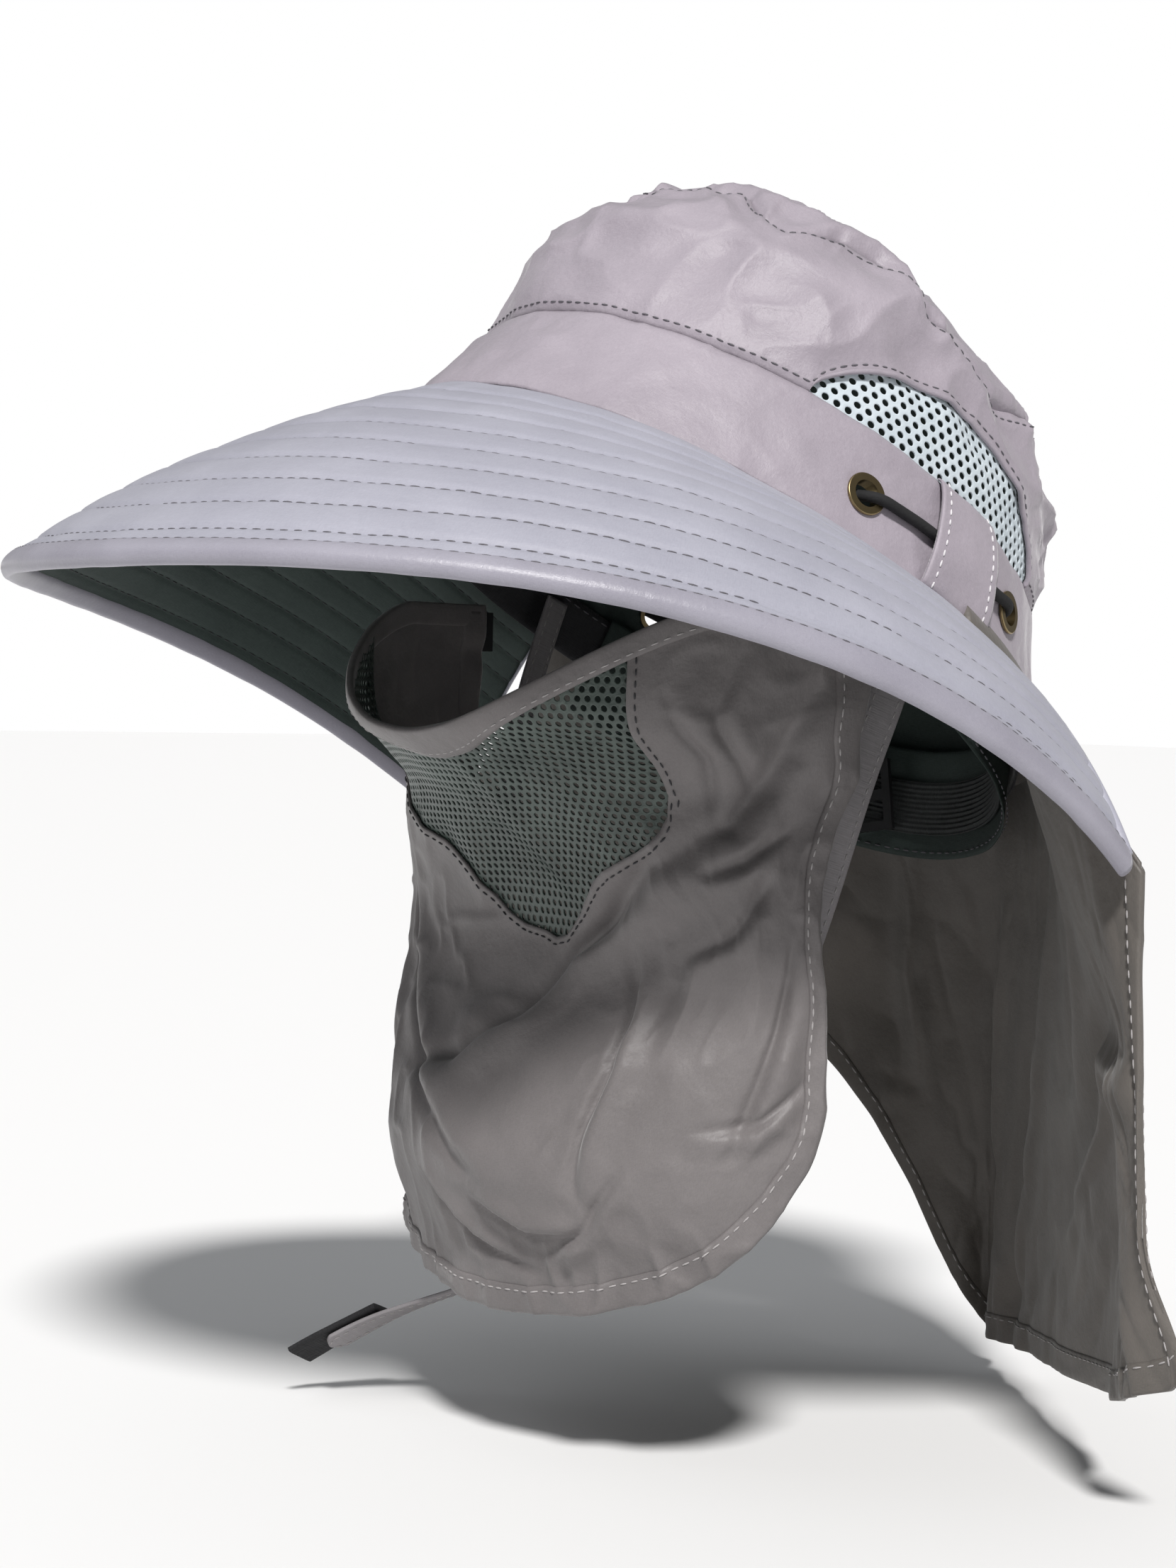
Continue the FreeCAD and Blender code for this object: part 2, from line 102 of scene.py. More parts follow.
def foldAlong(across, down, line, width, lift, dip):
    # a fold that follows a line of (across, down): a ridge on its left and a hollow on its right
    line = np.array(line, float)
    best = np.full(across.shape, 1e9)
    signed = np.zeros(across.shape)
    fade = np.zeros(across.shape)
    lengths = np.hypot(*(line[1:] - line[:-1]).T)
    total, gone = lengths.sum(), 0.0
    for start, end, length in zip(line, line[1:], lengths):
        dx, dy = (end - start) / length
        along = np.clip((across - start[0]) * dx + (down - start[1]) * dy, 0, length)
        px, py = across - start[0] - dx * along, down - start[1] - dy * along
        gap = np.hypot(px, py)
        side = np.sign(px * dy - py * dx) * gap
        near = gap < best
        share = (gone + along) / total
        best = np.where(near, gap, best)
        signed = np.where(near, side, signed)
        fade = np.where(near, np.sin(np.pi * np.clip(share, 0, 1)) ** 0.7, fade)
        gone += length
    left = lift * bell(signed + width * 0.8, width)
    right = dip * bell(signed - width * 0.25, width * 0.45)
    return (left - right) * fade


def gridNormals(grid, closed=False):
    if closed:
        across = np.roll(grid, -1, 0) - np.roll(grid, 1, 0)
    else:
        across = np.gradient(grid, axis=0)
    facing = np.cross(across, np.gradient(grid, axis=1))
    return facing / np.maximum(np.linalg.norm(facing, axis=2, keepdims=True), 1e-9)


def arcCoordinates(grid, closed=False):
    # cloth coordinates in millimetres, measured along the grid
    if closed:
        grid = np.concatenate([grid, grid[:1]])
    stepU = np.linalg.norm(np.diff(grid, axis=0), axis=2).mean(1)
    stepV = np.linalg.norm(np.diff(grid, axis=1), axis=2)
    u = np.concatenate([[0], np.cumsum(stepU)])
    v = np.concatenate([np.zeros((len(grid), 1)), np.cumsum(stepV, axis=1)], axis=1)
    return np.stack([np.broadcast_to(u[:, None], v.shape), v], -1)


def makeShell(name, outer, inner, paints, closed=False, keepCells=None, cloth=None, merge=False):
    # closed solid between two grids: the outer one faces along its own normals
    rows, columns = outer.shape[:2]
    cellRows = rows if closed else rows - 1
    if keepCells is None:
        keepCells = np.ones((cellRows, columns - 1), bool)
    i, j = np.nonzero(keepCells)
    i2 = (i + 1) % rows
    count = rows * columns
    outerFaces = np.stack([i * columns + j, i2 * columns + j, i2 * columns + j + 1, i * columns + j + 1], 1)
    innerFaces = outerFaces[:, ::-1] + count
    faces = [outerFaces, innerFaces]
    cloth = arcCoordinates(outer, closed) if cloth is None else cloth
    corner = [cloth[i, j], cloth[i + 1, j], cloth[i + 1, j + 1], cloth[i, j + 1]]
    coordinates = [np.stack(corner, 1), np.stack(corner[::-1], 1)]
    slots = [np.zeros(len(i), int), np.full(len(i), len(paints) - 1)]
    for di, dj in ((-1, 0), (1, 0), (0, -1), (0, 1)):      # walls round the rim and round any hole
        ni, nj = i + di, j + dj
        if closed:
            ni = ni % rows
        inside = (ni >= 0) & (ni < cellRows) & (nj >= 0) & (nj < columns - 1)
        bare = ~inside
        bare[inside] = ~keepCells[ni[inside], nj[inside]]
        ei, ej = i[bare], j[bare]
        if not len(ei):
            continue
        ends = {(-1, 0): ((0, 1), (0, 0)), (1, 0): ((1, 0), (1, 1)),
                (0, -1): ((0, 0), (1, 0)), (0, 1): ((1, 1), (0, 1))}[(di, dj)]
        a = ((ei + ends[0][0]) % rows) * columns + ej + ends[0][1]
        b = ((ei + ends[1][0]) % rows) * columns + ej + ends[1][1]
        faces.append(np.stack([b, a, a + count, b + count], 1))
        ca, cb = cloth[ei + ends[0][0], ej + ends[0][1]], cloth[ei + ends[1][0], ej + ends[1][1]]
        coordinates.append(np.stack([cb, ca, ca + 0.7, cb + 0.7], 1))
        slots.append(np.zeros(len(ei), int))
    points = np.concatenate([outer.reshape(-1, 3), inner.reshape(-1, 3)]) / 1000
    return writeMesh(name, points, np.concatenate(faces), np.concatenate(coordinates), paints,
                     np.concatenate(slots), merge or not keepCells.all())


def writeMesh(name, points, faces, coordinates, paints, slots, merge=False):
    mesh = bpy.data.meshes.new(name)
    mesh.vertices.add(len(points))
    mesh.vertices.foreach_set("co", points.astype(np.float32).ravel())
    mesh.loops.add(faces.size)
    mesh.loops.foreach_set("vertex_index", faces.astype(np.int32).ravel())
    mesh.polygons.add(len(faces))
    mesh.polygons.foreach_set("loop_start", np.arange(0, faces.size, faces.shape[1], dtype=np.int32))
    mesh.polygons.foreach_set("material_index", slots.astype(np.int32))
    mesh.polygons.foreach_set("use_smooth", np.ones(len(faces), bool))
    mesh.uv_layers.new(name="cloth").data.foreach_set("uv", coordinates.astype(np.float32).ravel())
    for paint in paints:
        mesh.materials.append(paint)
    mesh.update(calc_edges=True)
    mesh.validate()
    if merge:
        work = bmesh.new()
        work.from_mesh(mesh)
        bmesh.ops.remove_doubles(work, verts=work.verts, dist=1e-6)
        bmesh.ops.delete(work, geom=[v for v in work.verts if not v.link_faces], context="VERTS")
        work.to_mesh(mesh)
        work.free()
    piece = bpy.data.objects.new(name, mesh)
    bpy.context.scene.collection.objects.link(piece)
    return piece


def makeTube(name, rings, paints):
    # closed tube through rings of points, flat at both ends
    count, around = rings.shape[:2]
    i, k = np.meshgrid(np.arange(count - 1), np.arange(around), indexing="ij")
    i, k = i.ravel(), k.ravel()
    k2 = (k + 1) % around
    faces = np.stack([i * around + k, i * around + k2, (i + 1) * around + k2, (i + 1) * around + k], 1)
    length = np.concatenate([[0], np.cumsum(np.linalg.norm(np.diff(rings.mean(1), axis=0), axis=1))])
    girth = np.linalg.norm(np.roll(rings[0], -1, 0) - rings[0], axis=1).sum() / around
    coordinates = np.stack([np.stack([length[a], b * girth], 1)
                            for a, b in ((i, k), (i, k + 1), (i + 1, k + 1), (i + 1, k))], 1)
    m = np.arange(around // 2 - 1)
    first = np.stack([m, around - 1 - m, around - 2 - m, m + 1], 1)
    last = first[:, ::-1] + (count - 1) * around
    caps = np.concatenate([first, last])
    faces = np.concatenate([faces, caps])
    coordinates = np.concatenate([coordinates, np.zeros((len(caps), 4, 2))])
    return writeMesh(name, rings.reshape(-1, 3) / 1000, faces, coordinates, paints, np.zeros(len(faces), int))


def softSection(around, power):
    turn = np.linspace(0, 2 * np.pi, around, endpoint=False) + np.pi / around
    c, s = np.cos(turn), np.sin(turn)
    return np.sign(c) * np.abs(c) ** (2 / power), np.sign(s) * np.abs(s) ** (2 / power)


def rollAlong(name, centres, wide, high, halfWidth, halfHeight, paints, around=20, power=2.6):
    c, s = softSection(around, power)
    halfWidth = np.broadcast_to(halfWidth, len(centres))[:, None, None]
    halfHeight = np.broadcast_to(halfHeight, len(centres))[:, None, None]
    rings = (centres[:, None] + wide[:, None] * c[None, :, None] * halfWidth
             + high[:, None] * s[None, :, None] * halfHeight)
    return makeTube(name, rings, paints)


def place(piece, body, slot, *replaced):
    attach(piece, body)
    if replaced:
        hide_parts(*replaced)
    return piece


class Value:
    # a shader socket that can be added and multiplied
    def __init__(self, paint, socket):
        self.paint, self.socket = paint, socket

    def join(self, operation, other):
        return self.paint.node("ShaderNodeMath", {"operation": operation}, [self, other])

    def __add__(self, other):
        return self.join("ADD", other)

    def __mul__(self, other):
        return self.join("MULTIPLY", other)

    __radd__, __rmul__ = __add__, __mul__


class Paint:
    # one material and the nodes in it
    def __init__(self, name, **constants):
        self.material = bpy.data.materials.new(name)
        self.material.use_nodes = True
        self.tree = self.material.node_tree
        self.shader = self.tree.nodes["Principled BSDF"]
        for socket, value in constants.items():
            self.shader.inputs[socket.replace("_", " ")].default_value = value

    def node(self, kind, settings=None, sockets=(), output=0):
        made = self.tree.nodes.new(kind)
        for key, value in (settings or {}).items():
            if key == "stops":
                for at, stop in enumerate(value):
                    ramp = made.color_ramp.elements
                    element = ramp[at] if at < 2 else ramp.new(stop[0])
                    element.position, element.color = stop[0], (*stop[1], 1)
            else:
                setattr(made, key, value)
        for where, value in (sockets.items() if isinstance(sockets, dict) else enumerate(sockets)):
            if isinstance(value, Value):
                self.tree.links.new(value.socket, made.inputs[where])
            else:
                made.inputs[where].default_value = value
        return Value(self, made.outputs[output])

    def set(self, socket, value):
        self.tree.links.new(value.socket, self.shader.inputs[socket])

    def solid(self):
        # Object coordinates
        return self.node("ShaderNodeTexCoord", output=3)

    def noise(self, where, scale, detail=2.0, rough=0.5):
        return self.node("ShaderNodeTexNoise", {}, {"Vector": where, "Scale": scale, "Detail": detail,
                                                    "Roughness": rough})

    def mix(self, share, first, second):
        return self.node("ShaderNodeMix", {"data_type": "RGBA"}, {0: share, 6: first, 7: second}, 2)

    def bump(self, height, distance, strength=1.0, normal=None):
        sockets = {"Height": height, "Distance": distance, "Strength": strength}
        if normal is not None:
            sockets["Normal"] = normal
        return self.node("ShaderNodeBump", {}, sockets)


def clothPaint(name, look):
    # woven cloth on its own coordinates, in millimetres
    paint = Paint(name, Roughness=look["rough"], Sheen_Weight=look.get("sheen", 0.0), Sheen_Roughness=0.4,
                  Specular_IOR_Level=look.get("gloss", 0.35))
    where = paint.node("ShaderNodeUVMap", {"uv_map": "cloth"})
    solid = paint.solid()
    stretched = paint.node("ShaderNodeMapping", {}, {"Vector": where, "Scale": (0.35, 2.2, 1)})
    crossed = paint.node("ShaderNodeMapping", {}, {"Vector": where, "Scale": (2.2, 0.35, 1)})
    warp = paint.noise(stretched, look["weave"], 1.0)
    weft = paint.noise(crossed, look["weave"], 1.0)
    weave = warp + weft
    patches = paint.noise(solid, 38.0, 3.0, 0.55)
    crinkle = paint.noise(solid, look["crinkle"], 4.0, 0.6)
    tone = paint.node("ShaderNodeMapRange", {}, {0: patches * 0.7 + weave * 0.3, 1: 0.38, 2: 0.92})
    paint.set("Base Color", paint.mix(tone, (*look["dark"], 1), (*look["light"], 1)))
    paint.set("Roughness", look["rough"] - 0.06 + patches * 0.12)
    soft = paint.bump(crinkle, look["crinkleDepth"] / 1000, 0.8)
    paint.set("Normal", paint.bump(weave, look["weaveDepth"] / 1000, 0.7, soft))
    return paint.material


def threadPaint(name, colour):
    paint = Paint(name, Roughness=0.65)
    solid = paint.solid()
    twist = paint.noise(solid, 2600.0, 1.0)
    paint.set("Base Color", paint.mix(twist, (*(c * 0.7 for c in colour), 1), (*colour, 1)))
    paint.set("Normal", paint.bump(twist, 0.00012, 0.6))
    return paint.material


def hardPaint(name, colour, worn, rough, metal=0.0, grain=900.0, depth=0.02, coat=0.0):
    paint = Paint(name, Metallic=metal, Coat_Weight=coat)
    solid = paint.solid()
    broad = paint.noise(solid, 160.0, 3.0)
    fine = paint.noise(solid, grain, 3.0)
    paint.set("Base Color", paint.mix(broad, (*colour, 1), (*worn, 1)))
    paint.set("Roughness", rough - 0.08 + broad * 0.16)
    paint.set("Normal", paint.bump(fine, depth / 1000, 0.6))
    return paint.material


clothLooks = {
    "crownNylon": {"dark": (0.27, 0.24, 0.275), "light": (0.375, 0.335, 0.38), "rough": 0.5, "weave": 2.1,
                   "weaveDepth": 0.05, "crinkle": 210.0, "crinkleDepth": 0.55, "sheen": 0.25, "gloss": 0.4},
    "brimNylon": {"dark": (0.295, 0.295, 0.35), "light": (0.385, 0.385, 0.445), "rough": 0.52, "weave": 1.7,
                  "weaveDepth": 0.05, "crinkle": 260.0, "crinkleDepth": 0.2, "sheen": 0.25, "gloss": 0.35},
    "bindingSatin": {"dark": (0.25, 0.24, 0.285), "light": (0.34, 0.33, 0.385), "rough": 0.38, "weave": 2.6,
                     "weaveDepth": 0.05, "crinkle": 420.0, "crinkleDepth": 0.18, "sheen": 0.2, "gloss": 0.5},
    # mask cloth: the fabric's grey darkened to paint in the shade under the brim
    "maskNylonPaintedShade": {"dark": (0.125, 0.115, 0.115), "light": (0.195, 0.18, 0.18), "rough": 0.5, "weave": 2.1,
                  "weaveDepth": 0.04, "crinkle": 130.0, "crinkleDepth": 0.6, "sheen": 0.2, "gloss": 0.4},
    # neck flap cloth: the fabric's grey darkened to paint in the shade under the brim
    "flapNylonPaintedShade": {"dark": (0.085, 0.078, 0.07), "light": (0.145, 0.13, 0.118), "rough": 0.52, "weave": 2.1,
                  "weaveDepth": 0.04, "crinkle": 120.0, "crinkleDepth": 0.6, "sheen": 0.2, "gloss": 0.4},
    # dark underside cloth, also on the liner and the crown's inner faces: its green tint is painted green
    # bounce light
    "underClothPaintedGreenBounce": {"dark": (0.018, 0.028, 0.026), "light": (0.045, 0.062, 0.056), "rough": 0.7, "weave": 1.6,
                   "weaveDepth": 0.06, "crinkle": 260.0, "crinkleDepth": 0.25},
    "sweatKnit": {"dark": (0.012, 0.012, 0.014), "light": (0.04, 0.04, 0.044), "rough": 0.85, "weave": 1.2,
                  "weaveDepth": 0.15, "crinkle": 300.0, "crinkleDepth": 0.3, "sheen": 0.3},
    "strapWebbing": {"dark": (0.19, 0.18, 0.185), "light": (0.27, 0.255, 0.265), "rough": 0.6, "weave": 1.0,
                     "weaveDepth": 0.16, "crinkle": 400.0, "crinkleDepth": 0.15},
    "darkWebbing": {"dark": (0.01, 0.012, 0.012), "light": (0.05, 0.055, 0.055), "rough": 0.62, "weave": 0.9,
                    "weaveDepth": 0.2, "crinkle": 400.0, "crinkleDepth": 0.2},
    "ventKnit": {"dark": (0.42, 0.48, 0.52), "light": (0.66, 0.72, 0.76), "rough": 0.55, "weave": 3.2,
                 "weaveDepth": 0.1, "crinkle": 900.0, "crinkleDepth": 0.2, "gloss": 0.4},
    "maskKnit": {"dark": (0.014, 0.024, 0.02), "light": (0.085, 0.115, 0.10), "rough": 0.42, "weave": 3.2,
                 "weaveDepth": 0.12, "crinkle": 900.0, "crinkleDepth": 0.25, "gloss": 0.6},
    "hookPile": {"dark": (0.006, 0.006, 0.007), "light": (0.022, 0.022, 0.024), "rough": 0.8, "weave": 0.8,
                 "weaveDepth": 0.4, "crinkle": 900.0, "crinkleDepth": 0.3},
}
paints = {name: clothPaint(name, look) for name, look in clothLooks.items()}
# dark grey thread; on the brim its darkness is painted shade in the stitch grooves
paints["greyThreadAndPaintedShade"] = threadPaint("greyThreadAndPaintedShade", (0.12, 0.115, 0.13))
paints["whiteThread"] = threadPaint("whiteThread", (0.78, 0.76, 0.78))
paints["paleThread"] = threadPaint("paleThread", (0.42, 0.40, 0.40))
paints["darkThread"] = threadPaint("darkThread", (0.03, 0.03, 0.034))
hardLooks = {
    "agedBrass": ((0.40, 0.31, 0.16), (0.16, 0.12, 0.07), 0.34, 1.0, 700.0, 0.02, 0.0),
    "braidedCord": ((0.004, 0.004, 0.005), (0.012, 0.012, 0.013), 0.85, 0.0, 1600.0, 0.25, 0.0),
    "blackPlastic": ((0.012, 0.012, 0.013), (0.026, 0.026, 0.028), 0.4, 0.0, 1400.0, 0.03, 0.15),
    "springSteel": ((0.55, 0.55, 0.56), (0.40, 0.40, 0.41), 0.28, 1.0, 1500.0, 0.01, 0.0),
    "brimFoam": ((0.55, 0.55, 0.53), (0.66, 0.66, 0.63), 0.9, 0.0, 1200.0, 0.15, 0.0),
}
for name, look in hardLooks.items():
    paints[name] = hardPaint(name, *look)
for nodeNames, paintName in (
    (("eyelets_left", "eyelets_right", "eyelets_rear"), "agedBrass"),
    (("adjusting_cord", "cord_end_knots"), "braidedCord"),
    (("lock_barrel", "lock_plunger", "size_slider"), "blackPlastic"),
    (("lock_spring",), "springSteel"),
    (("brim_stiffener",), "brimFoam"),
    (("mask_hook_patches", "mask_loop_patches"), "blackPlastic"),
):
    for nodeName in nodeNames:
        nodes[nodeName].data.materials.clear()
        nodes[nodeName].data.materials.append(paints[paintName])
print("materials made:", len(paints))

# stitches and perforated knit are grown by Geometry Nodes


def newTree(name, inputs):
    tree = bpy.data.node_groups.new(name, "GeometryNodeTree")
    tree.interface.new_socket("Geometry", in_out="INPUT", socket_type="NodeSocketGeometry")
    for label, kind, value in inputs:
        socket = tree.interface.new_socket(label, in_out="INPUT", socket_type=kind)
        if value is not None:
            socket.default_value = value
    tree.interface.new_socket("Geometry", in_out="OUTPUT", socket_type="NodeSocketGeometry")
    return tree


def treeNode(tree, kind, settings=None, **sockets):
    made = tree.nodes.new(kind)
    for key, value in (settings or {}).items():
        setattr(made, key, value)
    for label, value in sockets.items():
        target = made.inputs[label.replace("_", " ")]
        if isinstance(value, bpy.types.NodeSocket):
            tree.links.new(value, target)
        else:
            target.default_value = value
    return made


def stitchTree():
    tree = newTree("stitchRow", [("Pitch", "NodeSocketFloat", 0.0033), ("Length", "NodeSocketFloat", 0.0022),
                                 ("Width", "NodeSocketFloat", 0.0006), ("Seed", "NodeSocketInt", 1),
                                 ("Thread", "NodeSocketMaterial", None)])
    given = tree.nodes.new("NodeGroupInput").outputs
    curve = treeNode(tree, "GeometryNodeMeshToCurve", Mesh=given["Geometry"])
    spots = treeNode(tree, "GeometryNodeCurveToPoints", {"mode": "LENGTH"}, Curve=curve.outputs[0],
                     Length=given["Pitch"])
    dash = treeNode(tree, "GeometryNodeMeshUVSphere", Segments=6, Rings=4, Radius=0.5)
    uneven = treeNode(tree, "FunctionNodeRandomValue", {"data_type": "FLOAT"}, Seed=given["Seed"])
    uneven.inputs[2].default_value, uneven.inputs[3].default_value = 0.88, 1.1
    length = treeNode(tree, "ShaderNodeMath", {"operation": "MULTIPLY"})
    tree.links.new(given["Length"], length.inputs[0])
    tree.links.new(uneven.outputs[1], length.inputs[1])
    size = treeNode(tree, "ShaderNodeCombineXYZ", X=given["Width"], Y=given["Width"], Z=length.outputs[0])
    laid = treeNode(tree, "GeometryNodeInstanceOnPoints", Points=spots.outputs["Points"],
                    Instance=dash.outputs[0], Rotation=spots.outputs["Rotation"], Scale=size.outputs[0])
    real = treeNode(tree, "GeometryNodeRealizeInstances", Geometry=laid.outputs[0])
    smooth = treeNode(tree, "GeometryNodeSetShadeSmooth", Geometry=real.outputs[0])
    painted = treeNode(tree, "GeometryNodeSetMaterial", Geometry=smooth.outputs[0], Material=given["Thread"])
    tree.links.new(painted.outputs[0], tree.nodes.new("NodeGroupOutput").inputs[0])
    return tree


def knitTree():
    tree = newTree("perforatedKnit", [("Hole", "NodeSocketFloat", 0.6), ("Yarn", "NodeSocketMaterial", None)])
    given = tree.nodes.new("NodeGroupInput").outputs
    cells = treeNode(tree, "GeometryNodeDualMesh", Mesh=given["Geometry"])
    inset = treeNode(tree, "GeometryNodeExtrudeMesh", {"mode": "FACES"}, Mesh=cells.outputs[0],
                     Offset_Scale=0.0, Individual=True)
    shrunk = treeNode(tree, "GeometryNodeScaleElements", {"domain": "FACE"}, Geometry=inset.outputs["Mesh"],
                      Selection=inset.outputs["Top"], Scale=given["Hole"])
    holed = treeNode(tree, "GeometryNodeDeleteGeometry", {"domain": "FACE", "mode": "ONLY_FACE"},
                     Geometry=shrunk.outputs[0], Selection=inset.outputs["Top"])
    softened = treeNode(tree, "GeometryNodeSubdivisionSurface", Mesh=holed.outputs[0], Level=1)
    real = treeNode(tree, "GeometryNodeRealizeInstances", Geometry=softened.outputs[0])
    smooth = treeNode(tree, "GeometryNodeSetShadeSmooth", Geometry=real.outputs[0])
    painted = treeNode(tree, "GeometryNodeSetMaterial", Geometry=smooth.outputs[0], Material=given["Yarn"])
    tree.links.new(painted.outputs[0], tree.nodes.new("NodeGroupOutput").inputs[0])
    return tree


stitchNodes, knitNodes = stitchTree(), knitTree()


def growFrom(piece, tree, values, thickness=None):
    modifier = piece.modifiers.new("grown", "NODES")
    modifier.node_group = tree
    keys = {item.name: item.identifier for item in tree.interface.items_tree if item.in_out == "INPUT"}
    for label, value in values.items():
        modifier[keys[label]] = value
    if thickness:
        wall = piece.modifiers.new("wall", "SOLIDIFY")
        wall.thickness, wall.offset = thickness / 1000, 0
    mesh = bpy.data.meshes.new_from_object(piece.evaluated_get(bpy.context.evaluated_depsgraph_get()))
    piece.modifiers.clear()
    piece.data = mesh
    mesh.name = piece.name
    return piece


def sewRows(name, rows, thread, body, slot, pitch=3.3, length=2.3, width=0.55, seed=1):
    # dashes of thread along each row of points
    points, edges, start = [], [], 0
    for row in rows:
        points += [tuple(p) for p in np.asarray(row) / 1000]
        edges += [(start + k, start + k + 1) for k in range(len(row) - 1)]
        start += len(row)
    mesh = bpy.data.meshes.new(name)
    mesh.from_pydata(points, edges, [])
    piece = bpy.data.objects.new(name, mesh)
    bpy.context.scene.collection.objects.link(piece)
    growFrom(piece, stitchNodes, {"Pitch": pitch / 1000, "Length": length / 1000, "Width": width / 1000,
                                  "Seed": seed, "Thread": paints[thread]})
    if body:
        place(piece, body, slot)
    return piece


def knitSheet(name, spot, columns, rows, thickness, hole, yarn):
    # spot(u, v) gives a point, or none outside the outline; odd rows of the lattice stand half a step across
    u, v = np.meshgrid(np.arange(columns + 1.0), np.arange(rows + 1.0), indexing="ij")
    points = spot(u + 0.5 * (v % 2), v).reshape(-1, 3)
    count = rows + 1
    faces = []
    for i, j in product(range(columns), range(rows)):
        a, b, c, d = i * count + j, (i + 1) * count + j, (i + 1) * count + j + 1, i * count + j + 1
        faces += [(a, b, d), (b, c, d)] if j % 2 == 0 else [(a, b, c), (a, c, d)]
    faces = np.array(faces)
    faces = faces[np.isfinite(points[faces]).all(axis=(1, 2))]
    used, faces = np.unique(faces, return_inverse=True)
    points, faces = points[used], faces.reshape(-1, 3)
    mesh = bpy.data.meshes.new(name)
    mesh.from_pydata([tuple(point) for point in points / 1000], [], faces.tolist())
    mesh.uv_layers.new(name="cloth")
    mesh.uv_layers[0].data.foreach_set("uv", points[faces.ravel()][:, [0, 2]].astype(np.float32).ravel())
    piece = bpy.data.objects.new(name, mesh)
    bpy.context.scene.collection.objects.link(piece)
    return growFrom(piece, knitNodes, {"Hole": hole, "Yarn": paints[yarn]}, thickness)


crown = {
    "tipBack": 30.0,            # how far the hat's front is raised
    "openingHalfWidth": 81.0, "openingHalfLength": 99.0,
    "halfWidth": 74.5, "halfLength": 86.5,
    "height": 96.0, "lean": 7.3, "power": 2.6, "round": 3.43,
    "band": 30.0,
    "cloth": 0.9,
    # height of the seam round the top, which the soft cloth pulls up and down
    "seam": [(-180, 70), (-150, 74), (-120, 71), (-95, 66), (-60, 76), (-30, 73), (0, 80), (28, 83), (37, 75),
             (44, 71), (54, 78), (64, 79), (71, 76), (76, 69), (90, 68), (100, 64), (110, 68), (125, 73),
             (150, 70), (180, 70)],
    "dents": 3.2, "folds": 2.1, "fine": 0.7, "pucker": 1.3,
    "ventStart": 60.0, "ventEnd": 124.0, "ventHeight": 21.0,
    "eyelets": [(75.0, 12.5), (112.0, 15.5), (156.0, 14.0)],
}


def tipBack(points):
    c, s = math.cos(math.radians(crown["tipBack"])), math.sin(math.radians(crown["tipBack"]))
    x, y, z = points[..., 0], points[..., 1], points[..., 2]
    return np.stack([x, y * c + z * s, -y * s + z * c], -1)


def crownRing(height):
    rise = np.maximum(height, 0) / crown["height"]
    taper = np.maximum(1 - rise ** crown["power"], 0) ** (1 / crown["round"])
    flare = 1 - np.minimum(1, height / crown["band"])
    halfWidth = crown["halfWidth"] + (crown["openingHalfWidth"] - crown["halfWidth"]) * flare
    halfLength = crown["halfLength"] + (crown["openingHalfLength"] - crown["halfLength"]) * flare
    return halfWidth * taper, halfLength * taper, -crown["lean"] * rise


def crownPoint(angle, height, out=0.0):
    # on the level hat
    angle, height = np.broadcast_arrays(np.asarray(angle, float), np.asarray(height, float))
    turn = np.radians(angle)
    a, b, y = crownRing(height)
    a2, b2, y2 = crownRing(height + 0.5)
    along = np.stack([a * np.cos(turn), b * np.sin(turn), 0 * turn], -1)
    up = np.stack([(a2 - a) * np.sin(turn), y2 - y - (b2 - b) * np.cos(turn), 0 * turn + 0.5], -1)
    facing = np.cross(along, up)
    facing /= np.maximum(np.linalg.norm(facing, axis=-1, keepdims=True), 1e-9)
    point = np.stack([a * np.sin(turn), y - b * np.cos(turn), height], -1)
    return point + facing * np.asarray(out)[..., None]


def seamHeight(angle):
    spots = np.array(crown["seam"], float)
    return np.interp((np.asarray(angle) + 180) % 360 - 180, spots[:, 0], spots[:, 1])


def crownRelief(angle, height):
    # how far the soft crown cloth stands out or sinks in
    point = crownPoint(angle, height)
    high = easeBetween(height, 26, 58)
    relief = clothNoise(point, 47, 3) * crown["dents"] * high - 5.0 * easeBetween(height, 60, 84)
    relief += clothNoise(point, 23, 5) * crown["dents"] * 0.5 * high + 1.2 * high
    relief += (creaseNoise(point * np.array([1, 1, 1.5]), 33, 8) - 0.1) * crown["folds"] * high
    relief += creaseNoise(point * np.array([1.3, 0.8, 1.1]), 19, 27) * crown["folds"] * 0.45 * high
    relief += creaseNoise(point, 13, 15) * crown["fine"] * (0.35 + 0.65 * high)
    relief += clothNoise(point, 7, 21) * crown["fine"] * 0.5
    gap = np.abs(height - seamHeight(angle))
    turn = np.radians(angle)
    aroundCrown = np.stack([np.sin(turn) * 75, -np.cos(turn) * 85, height * 0.22], -1)
    relief += creaseNoise(aroundCrown, 9.5, 31) * crown["pucker"] * np.exp(-gap / 6)
    relief -= 1.2 * bell(gap, 1.5)
    relief += 0.7 * bell(gap - 3.6, 2.2)
    bandGap = height - crown["band"]
    relief += creaseNoise(aroundCrown * 1.1, 11, 41) * 0.5 * np.exp(-np.abs(bandGap) / 5)
    relief -= 0.9 * bell(bandGap - 0.3, 1.1)
    return relief


def ventTop(angle):
    part = np.clip((np.abs(angle) - crown["ventStart"]) / (crown["ventEnd"] - crown["ventStart"]), 0, 1)
    rise = (crown["ventHeight"] - 0.5) * np.sin(np.pi * part) ** 0.6
    return crown["band"] + 0.3 + np.where((part > 0) & (part < 1), 0.4 + rise, 0)


def crownGrid(angle, height, out=0.0):
    return tipBack(crownPoint(angle, height, crownRelief(angle, height) + out))


def wrapAngle(angle):
    return (angle + 180) % 360 - 180


